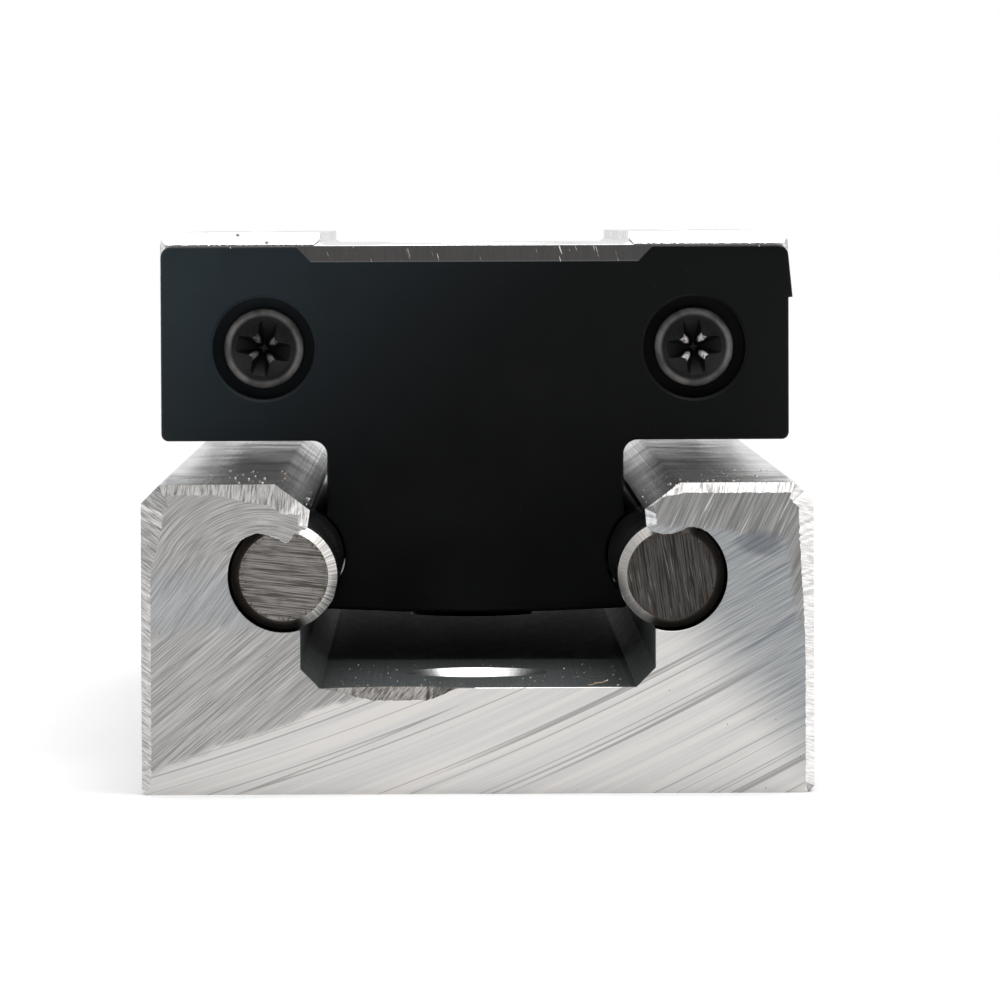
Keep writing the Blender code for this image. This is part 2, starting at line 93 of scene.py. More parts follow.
# Saw and file have pushed the lips' end edges down over the shafts.  Each line is
# (towards the wall, up) from the shaft's centre, from the lip's tip to the socket.
CRUSHED_LIP = {
    -1: ((-2.2, 4.4), (-1.4, 4.25), (-0.93, 3.98), (-0.74, 3.48), (-0.26, 3.09), (0.7, 3.57),
         (1.7, 3.96), (2.5, 4.07), (3.3, 3.75), (3.9, 3.44)),
    1: ((-2.3, 4.48), (-1.83, 4.07), (-0.82, 3.8), (0.17, 3.86), (0.76, 4.07), (1.41, 4.42),
        (1.78, 4.48), (2.61, 4.35), (3.3, 4.02)),
}
CRUSH_DEPTH = 0.3
CRUSH_END = 0.45
RAIL_SMOOTH = 12

# ---- Carriage ----
NECK_HALF = 14.6
NECK_FILLET = 1.4
WING_BOTTOM = 31.55
UNDER_REACH = 26.0
PAD_INNER = 15.4
PAD_STEP = 1.0
PAD_SLOPE = 0.5
RELIEF_TOP = 50.75
CAP_HALF = -CAP_LOW.x
CAP_DEPTH = CAP_HIGH.y - CAP_LOW.y
CAP_FOOT_HALF = 15.0
CAP_FOOT_RISE = 0.4
CAP_ARC = 5.15
CAP_TOP_CHAMFER = 1.1
CAP_WING_ROUND = 0.7
EAR_LOW = 45.5
NOTCH_TOP_HALF = 17.6
NOTCH_LOW_HALF = 16.1
NOTCH_HEIGHT = 1.57
NOTCH_DEPTH = 1.4

# ---- Screws and rollers ----
SCREW_PITCH = 0.7
SCREW_DOME = 1.4
BALL_PITCH = 6.3
BALL_RADIUS = 1.2
RACE_RADIUS = 1.5
RING_BORE = 7.15
STUD_HEAD = 1.2
STUD_RADIUS = 3.68
THREAD_ROOT = 3.15

# ---- Material slots ----
TOP, SAWN, SIDE_LEFT, TOP_LEFT, BURNISHED, FLOOR_LEFT, SIDE_RIGHT, TOP_RIGHT, CHANNEL, SIDE = range(10)
MILLED, BROKEN, UNDER, FLANK = range(4)

# The saw's long marks are arcs round this (x, z) point.
SAW_CENTRE = (-99.0, 238.7)
SAW_RADIUS = 250.0


# ---------------------------------------------------------------- small maths
def lerp(a, b, t):
    return a + (b - a) * t


def smooth(value, low, high):
    """0 below low, 1 above high, and an S-curve between them."""
    t = min(1.0, max(0.0, (value - low) / (high - low)))
    return t * t * (3.0 - 2.0 * t)


def arc(centre, radius, start, end, steps):
    """Points from one angle to another, in degrees, both ends included."""
    points = []
    for k in range(steps + 1):
        angle = math.radians(lerp(start, end, k / steps))
        x = centre[0] + radius * math.cos(angle)
        z = centre[1] + radius * math.sin(angle)
        points.append((x, z))
    return points


def angle_at(x, centre_x, radius):
    """Angle, in degrees, at which a circle passes x on its upper half."""
    return math.degrees(math.acos((x - centre_x) / radius))


def along(path, spacing=None, count=None):
    """Evenly spread points on a path, its start included and its end left out."""
    lengths = [math.dist(a, b) for a, b in zip(path, path[1:])]
    total = sum(lengths)
    count = count or max(1, round(total / spacing))
    points = []
    for k in range(count):
        left = total * k / count
        for (a, b), length in zip(zip(path, path[1:]), lengths):
            if left <= length:
                break
            left -= length
        t = left / length
        points.append((lerp(a[0], b[0], t), lerp(a[1], b[1], t)))
    return points


def inward(a, b):
    """Unit normal on the left of the step from a to b."""
    length = math.dist(a, b)
    return ((a[1] - b[1]) / length, (b[0] - a[0]) / length)


def mitred(point, before, after, width):
    """A corner moved in by a width from both of its sides."""
    share = width / (1.0 + before[0] * after[0] + before[1] * after[1])
    x = point[0] + share * (before[0] + after[0])
    z = point[1] + share * (before[1] + after[1])
    return (x, z)


def inset(outline, width):
    """A closed (x, z) outline, drawn anticlockwise, moved in by one width."""
    moved = []
    for k, point in enumerate(outline):
        before = inward(outline[k - 1], point)
        after = inward(point, outline[(k + 1) % len(outline)])
        moved.append(mitred(point, before, after, width))
    return moved


# ---------------------------------------------------------------- meshes
def add_lathe(bm, profile, segments, at=(0.0, 0.0, 0.0), turn=None, looks=()):
    """Turns (radius, height) points about Z; looks gives a band's material by number."""
    matrix = Matrix.Translation(at) @ (turn or Matrix.Identity(4))
    rings = []
    for radius, height in profile:
        if radius == 0.0:
            rings.append([bm.verts.new(matrix @ Vector((0.0, 0.0, height)))])
            continue
        ring = []
        for k in range(segments):
            angle = math.tau * k / segments
            point = Vector((radius * math.cos(angle), radius * math.sin(angle), height))
            ring.append(bm.verts.new(matrix @ point))
        rings.append(ring)
    pairs = list(zip(rings, rings[1:]))
    if all(radius > 0.0 for radius, _ in profile):
        pairs.append((rings[-1], rings[0]))
    for band, (low, high) in enumerate(pairs):
        for k in range(segments):
            n = (k + 1) % segments
            if len(low) == 1:
                face = bm.faces.new((low[0], high[k], high[n]))
            elif len(high) == 1:
                face = bm.faces.new((low[k], high[0], low[n]))
            else:
                face = bm.faces.new((low[k], low[n], high[n], high[k]))
            if band < len(looks):
                face.material_index = looks[band]


def add_prism(bm, outline, low, high, taper=1.0, at=(0.0, 0.0, 0.0)):
    """Raises an (x, y) outline from low to high along Z, its far end drawn in by taper."""
    matrix = Matrix.Translation(at)
    near = [bm.verts.new(matrix @ Vector((x, y, low))) for x, y in outline]
    far = [bm.verts.new(matrix @ Vector((x * taper, y * taper, high))) for x, y in outline]
    bm.faces.new(near)
    bm.faces.new(far)
    for k in range(len(outline)):
        n = (k + 1) % len(outline)
        bm.faces.new((near[k], near[n], far[n], far[k]))


def add_rings(bm, rings, look_of, first_look=0, last_look=0):
    """Skins a row of equal closed rings of (x, y, z) points and caps both ends."""
    rows = [[bm.verts.new(point) for point in ring] for ring in rings]
    for row, (low, high) in enumerate(zip(rows, rows[1:])):
        for k in range(len(low)):
            n = (k + 1) % len(low)
            face = bm.faces.new((low[k], low[n], high[n], high[k]))
            face.material_index = look_of(row, k)
    bm.faces.new(rows[0]).material_index = first_look
    bm.faces.new(rows[-1]).material_index = last_look


def rounded_stations(low, high, radius, steps=4):
    """(place, inset) pairs that round both end edges of an extrusion."""
    front = []
    for k in range(steps + 1):
        angle = 0.5 * math.pi * k / steps
        front.append((radius * (1.0 - math.sin(angle)), radius * (1.0 - math.cos(angle))))
    stations = [(low + depth, width) for width, depth in front]
    stations += [(high - depth, width) for width, depth in reversed(front)]
    return stations


def to_object(name, bm, looks, at=(0.0, 0.0, 0.0), turn=None, smooth_angle=30):
    bmesh.ops.recalc_face_normals(bm, faces=bm.faces)
    bmesh.ops.scale(bm, vec=(MM, MM, MM), verts=bm.verts)
    mesh = bpy.data.meshes.new(name)
    bm.to_mesh(mesh)
    bm.free()
    for look in looks:
        mesh.materials.append(look)
    mesh.shade_smooth()
    mesh.set_sharp_from_angle(angle=math.radians(smooth_angle))
    piece = bpy.data.objects.new(name, mesh)
    bpy.context.scene.collection.objects.link(piece)
    piece.location = Vector(at) * MM
    if turn:
        piece.rotation_euler = turn.to_euler()
    return piece


def boolean(piece, bm, look, operation="DIFFERENCE", smooth_angle=30):
    """Cuts or trims a piece, in its own space, by a helper that leaves its look behind."""
    helper = to_object(piece.name + "_helper", bm, [look])
    helper.matrix_world = piece.matrix_basis.copy()
    step = piece.modifiers.new("cut", "BOOLEAN")
    step.operation = operation
    step.solver = "EXACT"
    step.material_mode = "TRANSFER"
    step.object = helper
    bpy.context.view_layer.update()
    graph = bpy.context.evaluated_depsgraph_get()
    mesh = bpy.data.meshes.new_from_object(piece.evaluated_get(graph))
    piece.modifiers.remove(step)
    piece.data = mesh
    bpy.data.objects.remove(helper)
    mesh.shade_smooth()
    mesh.set_sharp_from_angle(angle=math.radians(smooth_angle))


def stand_for(piece, node, body):
    """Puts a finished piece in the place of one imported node."""
    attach(piece, body)
    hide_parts(node)


# ---------------------------------------------------------------- finishes
class Finish:
    """A material being made: its Principled shader and the few nodes used round it."""

    def __init__(self, name, colour, roughness, metallic=1.0, specular=0.5):
        self.material = bpy.data.materials.new(name)
        self.material.use_nodes = True
        self.tree = self.material.node_tree
        self.shader = self.tree.nodes["Principled BSDF"]
        self.shader.inputs["Base Color"].default_value = (*colour, 1.0)
        self.shader.inputs["Roughness"].default_value = roughness
        self.shader.inputs["Metallic"].default_value = metallic
        self.shader.inputs["Specular IOR Level"].default_value = specular
        place = self.node("ShaderNodeTexCoord").outputs["Object"]
        self.place = self.node(
            "ShaderNodeVectorMath", {0: place, "Scale": 1.0 / MM}, operation="SCALE"
        ).outputs[0]

    def node(self, kind, inputs=None, **settings):
        made = self.tree.nodes.new(kind)
        for key, value in settings.items():
            setattr(made, key, value)
        for key, value in (inputs or {}).items():
            if isinstance(value, bpy.types.NodeSocket):
                self.tree.links.new(value, made.inputs[key])
            else:
                made.inputs[key].default_value = value
        return made

    def math(self, operation, *values):
        inputs = dict(enumerate(values))
        return self.node("ShaderNodeMath", inputs, operation=operation).outputs[0]

    def times(self, first, second):
        return self.math("MULTIPLY", first, second)

    def plus(self, first, second, share):
        """first + share * second."""
        return self.math("ADD", first, self.times(second, share))

    def squares(self, first, second):
        """The sum of two squares."""
        return self.math("ADD", self.times(first, first), self.times(second, second))

    def axes(self, vector=None):
        split = self.node("ShaderNodeSeparateXYZ", {0: vector or self.place})
        return split.outputs[0], split.outputs[1], split.outputs[2]

    def step(self, value, low, high, start=0.0, end=1.0):
        """An S-curve from start to end as value goes from low to high."""
        inputs = {0: value, 1: low, 2: high, 3: start, 4: end}
        return self.node(
            "ShaderNodeMapRange", inputs, interpolation_type="SMOOTHSTEP"
        ).outputs[0]

    def mix(self, share, first, second, blend="MIX"):
        made = self.node("ShaderNodeMix", data_type="RGBA", blend_type=blend)
        sockets = [s for s in made.inputs if s.enabled]
        for socket, value in zip(sockets, (share, first, second)):
            if isinstance(value, bpy.types.NodeSocket):
                self.tree.links.new(value, socket)
            elif isinstance(value, tuple):
                socket.default_value = (*value, 1.0)
            else:
                socket.default_value = value
        return next(s for s in made.outputs if s.enabled)

    def blend(self, share, first, second):
        inputs = {0: share, 2: first, 3: second}
        return self.node("ShaderNodeMix", inputs, data_type="FLOAT").outputs[0]

    def noise_over(self, vector, detail, roughness):
        inputs = {"Vector": vector, "Scale": 1.0, "Detail": detail, "Roughness": roughness}
        return self.node("ShaderNodeTexNoise", inputs).outputs[0]

    def grain(self, size, detail=3.0, vector=None):
        """Noise with features of a size in mm; three sizes stretch it along the axes."""
        sizes = size if isinstance(size, tuple) else (size, size, size)
        inputs = {"Vector": vector or self.place, "Scale": sizes}
        scaled = self.node("ShaderNodeMapping", inputs, vector_type="TEXTURE").outputs[0]
        return self.noise_over(scaled, detail, 0.55)

    def brushed(self, degrees, across, length, detail=3.0):
        """Noise drawn out along a direction in the XZ plane, measured up from +X."""
        inputs = {
            "Vector": self.place,
            "Rotation": (0.0, -math.radians(degrees), 0.0),
            "Scale": (length, length, across),
        }
        turned = self.node("ShaderNodeMapping", inputs, vector_type="TEXTURE").outputs[0]
        return self.noise_over(turned, detail, 0.6)

    def swept(self, centre, reach, across, length, detail=3.0):
        """Noise drawn out along arcs round a point of the XZ plane, reach mm away."""
        x, _, z = self.axes()
        dx = self.math("SUBTRACT", x, centre[0])
        dz = self.math("SUBTRACT", z, centre[1])
        radius = self.math("SQRT", self.squares(dx, dz))
        angle = self.times(self.math("ARCTAN2", dz, dx), reach / length)
        radial = self.times(radius, 1.0 / across)
        polar = self.node("ShaderNodeCombineXYZ", {0: radial, 1: angle}).outputs[0]
        return self.noise_over(polar, detail, 0.6)

    def sawn(self, across, length, detail):
        return self.swept(SAW_CENTRE, SAW_RADIUS, across, length, detail)

    def specks(self, spacing, size, share):
        """1 in small spots at a share of the cells of a random lattice."""
        cells = self.node(
            "ShaderNodeTexVoronoi", {"Vector": self.place, "Scale": 1.0 / spacing}
        )
        spot = self.step(cells.outputs["Distance"], size / spacing, 0.5 * size / spacing)
        pick, _, _ = self.axes(cells.outputs["Color"])
        return self.times(spot, self.math("LESS_THAN", pick, share))

    def colour(self, socket):
        self.tree.links.new(socket, self.shader.inputs["Base Color"])

    def rough(self, socket):
        self.tree.links.new(socket, self.shader.inputs["Roughness"])

    def bump(self, height, depth, strength=1.0):
        """Relief from a height socket; depth is in mm."""
        inputs = {"Height": height, "Distance": depth * MM, "Strength": strength}
        made = self.node("ShaderNodeBump", inputs).outputs[0]
        self.tree.links.new(made, self.shader.inputs["Normal"])


def grey(value, warm=0.0):
    """A near-neutral colour, a little warmer or cooler."""
    return (value * (1.0 + warm), value, value * (1.0 - warm))


def extruded_finish(name, light, roughness):
    """Satin extrusion: fine die lines along the rail, faint mottling and dust."""
    f = Finish(name, grey(light), roughness)
    lines = f.grain((0.12, 900.0, 0.12), 1.0)
    bands = f.grain((2.2, 1500.0, 2.2), 1.0)
    cloud = f.grain(7.0, 3.0)
    tone = f.mix(f.step(lines, 0.3, 0.7), grey(0.92 * light), grey(1.06 * light))
    tone = f.mix(f.step(bands, 0.35, 0.65), tone, grey(light, -0.01))
    f.colour(f.mix(f.specks(1.7, 0.07, 0.35), tone, grey(0.95)))
    haze = f.step(cloud, 0.3, 0.7, 0.0, 0.07)
    scored = f.step(lines, 0.3, 0.7, roughness - 0.05, roughness)
    f.rough(f.math("ADD", haze, scored))
    f.bump(lines, 0.006, 0.4)
    return f.material


def channel_finish():
    """Inside of the channel: the same extrusion, its colour darkened as painted shade, with darker
    mottled patches.
    """
    # Painted shade: the dark base and patch colours stand in for the shade inside the channel and
    # under the carriage.
    f = Finish("channel_painted_shade_aluminium", grey(0.14), 0.5, specular=0.2)
    lines = f.grain((0.15, 900.0, 0.15), 1.0)
    channel_mottle = f.grain(1.4, 5.0)
    tone = f.mix(f.step(lines, 0.3, 0.7), (0.12, 0.13, 0.132), (0.17, 0.182, 0.184))
    tone = f.mix(f.step(channel_mottle, 0.45, 0.7, 0.0, 0.5), tone, (0.09, 0.1, 0.1))
    f.colour(f.mix(f.specks(0.8, 0.06, 0.3), tone, grey(0.5)))
    f.rough(f.step(channel_mottle, 0.3, 0.7, 0.42, 0.56))
    f.bump(channel_mottle, 0.004, 0.3)
    return f.material


def underside_shade_finish():
    """The carriage's hidden faces over the rail: painted shade, near black, in streaks with lighter
    spots.
    """
    # Painted shade: the faces under the wings and round the neck are coloured near black for the shade
    # in the gap over the rail.
    f = Finish("painted_shade_underside", grey(0.05), 0.38)
    shade_streaks = f.grain((2.0, 30.0, 2.0), 4.0)
    spots = f.grain(1.2, 4.0)
    tone = f.mix(f.step(shade_streaks, 0.3, 0.75), grey(0.03), grey(0.08))
    f.colour(f.mix(f.step(spots, 0.6, 0.75, 0.0, 0.5), tone, grey(0.16)))
    f.rough(f.step(spots, 0.3, 0.7, 0.3, 0.5))
    f.bump(spots, 0.02, 0.5)
    return f.material


def dust_finish():
    """Dust and swarf: pale grey to tan, picked by place."""
    f = Finish("dust", grey(0.6), 0.8, metallic=0.0)
    pick = f.grain(1.6, 1.0)
    tone = f.mix(f.step(pick, 0.42, 0.58), (0.75, 0.73, 0.68), (0.50, 0.38, 0.24))
    f.colour(tone)
    return f.material


def left_marks(f, height):
    """Left of the end: straight marks low down, steeper beside the shaft, arcs on top."""
    beside = f.step(height, 14.5, 16.5)
    straight = f.brushed(40.0, 0.09, 5.0, 6.0)
    steeper = f.brushed(54.0, 0.09, 4.0, 6.0)
    curved = f.swept((-20.0, 17.4), 9.0, 0.12, 4.0, 6.0)
    fine = f.blend(beside, straight, steeper)
    fine = f.blend(f.step(height, 21.5, 23.5), fine, curved)
    broad = f.swept((-48.7, 37.7), 30.0, 1.2, 16.0, 2.0)
    tone = f.mix(f.step(fine, 0.34, 0.66), grey(0.27, 0.03), grey(0.63, 0.01))
    tone = f.mix(f.step(broad, 0.35, 0.7, 0.0, 0.4), tone, grey(0.40, 0.03))
    bluish = f.times(beside, f.step(height, 19.0, 22.0, 0.3, 0.0))
    return fine, f.mix(bluish, tone, (0.38, 0.43, 0.48))


def lower_marks(f):
    """Lower part of the end: long shallow marks, smoother, with a few thin dark lines."""
    fine = f.sawn(0.16, 14.0, 5.0)
    broad = f.sawn(1.1, 45.0, 2.0)
    line = f.sawn(2.1, 400.0, 1.5)
    tone = f.mix(f.step(fine, 0.3, 0.7), grey(0.68, 0.02), grey(0.78, 0.01))
    tone = f.mix(f.step(broad, 0.42, 0.62), tone, grey(0.80, 0.035))
    near_line = f.math("ABSOLUTE", f.math("SUBTRACT", line, 0.47))
    return fine, f.mix(f.step(near_line, 0.0, 0.012, 0.75, 0.0), tone, grey(0.3, 0.02))


def wall_marks(f):
    """Right wall of the end: the same long marks, but bluer and streaked dark."""
    hair = f.sawn(0.1, 8.0, 5.0)
    streak = f.sawn(0.5, 16.0, 3.0)
    tone = f.mix(f.step(hair, 0.34, 0.66), (0.27, 0.29, 0.31), (0.52, 0.53, 0.53))
    return f.mix(f.step(streak, 0.55, 0.68, 0.0, 0.7), tone, (0.16, 0.18, 0.22))


def upper_marks(f):
    """Upper right of the end: steep marks over a darker ground."""
    steep = f.brushed(65.0, 0.17, 6.0, 4.0)
    scratch = f.brushed(63.0, 0.12, 5.0, 2.0)
    tone = f.mix(f.step(steep, 0.3, 0.72), grey(0.22, 0.01), grey(0.44, 0.015))
    return f.mix(f.step(scratch, 0.63, 0.72, 0.0, 0.7), tone, grey(0.85))


def smear(f, x, z, wander):
    """Strength of the bluish smear above the right shaft."""
    dx = f.times(f.math("SUBTRACT", x, 26.3), 0.5)
    dz = f.times(f.math("SUBTRACT", z, 23.2), 0.9)
    away = f.plus(f.squares(dx, dz), wander, 0.6)
    return f.step(away, 0.2, 1.8, 0.6, 0.0)


def sawn_finish():
    """The sawn and brushed end: four sets of marks that meet along soft edges."""
    f = Finish("sawn_aluminium", grey(0.7), 0.42)
    x, _, z = f.axes()
    wander = f.times(f.math("SUBTRACT", f.grain(3.0, 4.0), 0.5), 3.0)
    fine, low = lower_marks(f)
    fine_left, left = left_marks(f, f.math("ADD", z, wander))

    on_wall = f.times(f.step(f.plus(x, z, 0.9), 29.0, 39.0), f.step(x, 10.0, 18.0))
    tone = f.mix(on_wall, low, wall_marks(f))
    slant = f.plus(f.plus(z, x, 0.12), wander, 0.5)
    strip = f.times(f.step(f.plus(x, z, 0.14), 31.4, 32.4), f.step(z, 13.0, 18.0))
    upper = f.math("MAXIMUM", f.step(slant, 26.6, 27.5), strip)
    tone = f.mix(f.times(upper, f.step(x, 8.0, 10.0)), tone, upper_marks(f))
    edge = f.plus(f.plus(z, x, -0.37), wander, 0.5)
    on_left = f.times(f.step(edge, 12.9, 13.7), f.step(x, -8.0, -5.0, 1.0, 0.0))
    tone = f.mix(on_left, tone, left)

    # The smear, then pits and a few rusty specks.
    tone = f.mix(smear(f, x, z, wander), tone, (0.13, 0.145, 0.17))
    f.colour(f.mix(f.specks(1.1, 0.07, 0.3), tone, (0.16, 0.11, 0.08)))
    f.rough(f.step(fine, 0.2, 0.8, 0.36, 0.5))
    f.bump(f.blend(on_left, fine, fine_left), 0.015, 0.35)
    return f.material


def filed_finish(name, dark, light, degrees):
    """A filed bevel: short bright and dark cuts across the edge."""
    f = Finish(name, light, 0.34)
    cuts = f.brushed(degrees, 0.16, 1.6, 3.0)
    fine = f.brushed(degrees + 8.0, 0.07, 1.0, 2.0)
    tone = f.mix(f.step(cuts, 0.32, 0.62), dark, light)
    tone = f.mix(f.step(fine, 0.62, 0.72, 0.0, 0.5), tone, grey(0.3, 0.05))
    f.colour(tone)
    f.rough(f.step(fine, 0.3, 0.7, 0.26, 0.44))
    f.bump(cuts, 0.05, 0.9)
    return f.material


def burnished_finish():
    """The rubbed tip of the right lip: smooth, pale, faintly clouded."""
    f = Finish("burnished_aluminium", grey(0.8), 0.3)
    cloud = f.grain(0.5, 4.0)
    f.colour(f.mix(f.step(cloud, 0.3, 0.7), grey(0.66, -0.02), grey(0.86, -0.01)))
    f.rough(f.step(cloud, 0.3, 0.7, 0.24, 0.42))
    f.bump(cloud, 0.03, 0.4)
    return f.material


def bored_finish():
    """Drilled and countersunk faces: fine turning marks round the hole."""
    f = Finish("bored_aluminium", grey(0.84), 0.3)
    rings = f.grain((4.0, 4.0, 0.12), 2.0)
    f.colour(f.mix(f.step(rings, 0.3, 0.7), grey(0.72), grey(0.9)))
    f.bump(rings, 0.02, 0.6)
    return f.material


def rod_side_finish():
    """Ground shaft: bright, with a fine ground lay round it."""
    f = Finish("ground_steel", grey(0.56), 0.14)
    lay = f.grain((9.0, 0.08, 9.0), 2.0)
    stain = f.grain((5.0, 18.0, 5.0), 4.0)
    tone = f.mix(f.step(lay, 0.3, 0.7), grey(0.5), grey(0.6))
    f.colour(f.mix(f.step(stain, 0.5, 0.75, 0.0, 0.4), tone, grey(0.34, 0.04)))
    f.rough(f.step(stain, 0.3, 0.8, 0.1, 0.24))
    f.bump(lay, 0.004, 0.4)
    return f.material


def rod_face_finish(name, degrees, dark, light):
    """A sawn shaft end: scratches one way, stains, and rust spots near the rim."""
    f = Finish(name, light, 0.42)
    scratches = f.brushed(degrees, 0.1, 4.0, 5.0)
    bright = f.brushed(degrees + 3.0, 0.09, 3.0, 2.0)
    stain = f.grain(1.6, 4.0)
    tone = f.mix(f.step(scratches, 0.36, 0.66), dark, light)
    tone = f.mix(f.step(bright, 0.62, 0.74, 0.0, 0.4), tone, grey(0.5, 0.05))
    tone = f.mix(f.step(stain, 0.5, 0.72, 0.0, 0.4), tone, grey(0.09, 0.1))
    x, _, z = f.axes()
    rim = f.step(f.squares(x, z), 12.5, 16.5, 0.0, 0.75)
    rust = f.step(f.grain(0.35, 3.0), 0.5, 0.62)
    tone = f.mix(f.times(rim, rust), tone, (0.06, 0.03, 0.018))
    f.colour(f.mix(f.specks(0.9, 0.12, 0.25), tone, (0.12, 0.05, 0.03)))
    f.rough(f.step(scratches, 0.3, 0.7, 0.34, 0.5))
    f.bump(scratches, 0.02, 0.5)
    return f.material


def rod_bevel_finish(name, side, light):
    """Filed shaft edge: radial cuts, polished by the rollers, with painted shade on the side next to
    the socket wall.
    """
    f = Finish(name, light, 0.36)
    x, _, z = f.axes()
    angle = f.times(f.math("ARCTAN2", z, x), 9.0)
    ring = f.node("ShaderNodeCombineXYZ", {0: angle}).outputs[0]
    cuts = f.grain(0.35, 3.0, ring)
    tone = f.mix(f.step(cuts, 0.34, 0.62), grey(0.34, 0.06), light)
    wall = f.plus(f.times(x, side), z, -0.45)
    # Painted shade: the bevel darkens towards the socket wall, where it sits in the socket's shadow.
    socket_wall_shade = f.step(f.plus(wall, cuts, 0.6), -0.6, 0.9)
    f.colour(f.mix(socket_wall_shade, tone, grey(0.07, 0.12)))
    f.rough(f.step(cuts, 0.3, 0.7, 0.28, 0.46))
    f.bump(cuts, 0.04, 0.8)
    return f.material


def plastic_finish():
    """Matt black moulding: very fine grain, a painted sheen lighter towards the upper left, pale
    specks.
    """
    f = Finish("black_plastic", grey(0.0045), 0.5, metallic=0.0, specular=0.12)
    x, _, z = f.axes()
    # Painted sheen: the face grows lighter and bluer towards its upper left, clouded a little.
    upper_left_sheen = f.step(f.math("SUBTRACT", z, x), 35.0, 82.0)
    cloud = f.step(f.grain(9.0, 4.0), 0.3, 0.75)
    upper_left_sheen = f.times(upper_left_sheen, f.plus(0.75, cloud, 0.25))
    tone = f.mix(upper_left_sheen, (0.0022, 0.0027, 0.0031), (0.022, 0.033, 0.039))
    lint = f.times(f.specks(1.1, 0.06, 0.12), 0.35)
    tone = f.mix(lint, tone, (0.10, 0.13, 0.13))
    f.colour(tone)
    grain = f.grain(0.12, 2.0)
    f.rough(f.step(cloud, 0.0, 1.0, 0.44, 0.56))
    f.bump(grain, 0.006, 0.25)
    return f.material


def rubbed_notch_and_edge_highlight_finish():
    """The cap's bevelled notch, rubbed brown-grey and scratched down its slope, with a painted
    highlight line along its foot; also laid on the top edge's rounding as a painted highlight.
    """
    f = Finish("rubbed_plastic_and_edge_highlight", grey(0.03), 0.5, metallic=0.0, specular=0.25)
    marks = f.grain((0.25, 3.0, 3.0), 3.0)
    deep = f.brushed(106.0, 0.22, 4.0, 2.0)
    tone = f.mix(f.step(marks, 0.3, 0.7), (0.007, 0.0056, 0.005), (0.015, 0.0128, 0.0115))
    x, _, z = f.axes()
    # Painted highlight: a lighter line along the notch's lower edge, where it meets the front face.
    foot = f.math("SUBTRACT", z, CAP_HIGH.z - NOTCH_HEIGHT)
    tone = f.mix(f.step(foot, 0.16, 0.04, 0.0, 0.7), tone, (0.055, 0.052, 0.050))
    f.colour(f.mix(f.step(deep, 0.66, 0.72, 0.0, 0.9), tone, (0.7, 0.62, 0.55)))
    f.bump(marks, 0.02, 0.5)
    return f.material


def milled_finish(name, light):
    """Milled carriage: fine cutter lines across, bright with faint swirl."""
    f = Finish(name, grey(light), 0.26)
    lines = f.grain((30.0, 0.16, 30.0), 2.0)
    cloud = f.grain(8.0, 3.0)
    f.colour(f.mix(f.step(lines, 0.3, 0.7), grey(0.9 * light), grey(1.08 * light)))
    f.rough(f.step(cloud, 0.3, 0.7, 0.2, 0.32))
    f.bump(lines, 0.01, 0.5)
    return f.material


def rough_edge_finish():
    """Broken end edges of the carriage's block: bright, pitted."""
    f = Finish("broken_aluminium", grey(0.9), 0.42)
    chips = f.grain(0.5, 4.0)
    tone = f.mix(f.step(chips, 0.3, 0.6), grey(0.5), grey(0.84))
    f.colour(f.mix(f.specks(1.6, 0.3, 0.3), tone, grey(0.12)))
    f.bump(chips, 0.1, 0.9)
    return f.material


def screw_finish():
    """Blackened screw: near black with an oiled look, and a grey ring painted round its curved rim as
    a highlight.
    """
    f = Finish("blackened_steel", grey(0.006), 0.36, metallic=0.0, specular=0.2)
    _, _, z = f.axes()
    mottle = f.grain(0.35, 4.0)
    tone = f.mix(f.step(mottle, 0.3, 0.75), (0.004, 0.0046, 0.0052), grey(0.010))
    # Painted highlight: a grey ring on the dome's curved rim stands in for the light it catches there,
    # varied in strength.
    rim = f.times(f.step(z, -0.38, -0.62), f.step(z, -1.35, -1.0))
    rim = f.times(rim, f.step(f.grain(2.5, 2.0), 0.3, 0.65, 0.35, 1.0))
    f.colour(f.mix(rim, tone, grey(0.26, 0.03)))
    f.rough(f.step(mottle, 0.3, 0.7, 0.3, 0.42))
    f.bump(mottle, 0.01, 0.4)
    return f.material


def recess_finish(name, wear_and_glint):
    """The cross recess: black, with bare metal where a driver has rubbed its corners, painted bright
    as glints near their tops.
    """
    f = Finish(name, grey(0.005), 0.4, metallic=0.0, specular=0.2)
    x, y, z = f.axes()
    wide = f.math("ABSOLUTE", x)
    high = f.math("ABSOLUTE", y)
    corner = f.math("ABSOLUTE", f.math("SUBTRACT", wide, high))
    # Painted glint: bare-metal colour at the four corner tips near the top of the recess, partly wear
    # and partly the light they catch.
    corner_glint = f.times(f.step(corner, 0.55, 0.3), f.step(z, -1.8, -1.2))
    chips = f.grain(0.45, 3.0)
    corner_glint = f.times(corner_glint, f.step(chips, 0.42, 0.55, 0.3 * wear_and_glint, wear_and_glint))
    f.colour(f.mix(corner_glint, grey(0.005), grey(0.9, 0.03)))
    f.bump(chips, 0.02, 0.5)
    return f.material


def turned_finish(name, light, roughness, lay=0.1):
    """Turned or ground steel: fine marks round the Z axis, with a light stain."""
    f = Finish(name, grey(light), roughness)
    marks = f.grain((6.0, 6.0, lay), 2.0)
    stain = f.grain(3.0, 4.0)
    tone = f.mix(f.step(marks, 0.3, 0.7), grey(0.86 * light), grey(1.06 * light))
    f.colour(f.mix(f.step(stain, 0.52, 0.8, 0.0, 0.4), tone, grey(0.6 * light, 0.03)))
    f.rough(f.step(stain, 0.3, 0.8, roughness, roughness + 0.12))
    f.bump(marks, 0.008, 0.5)
    return f.material


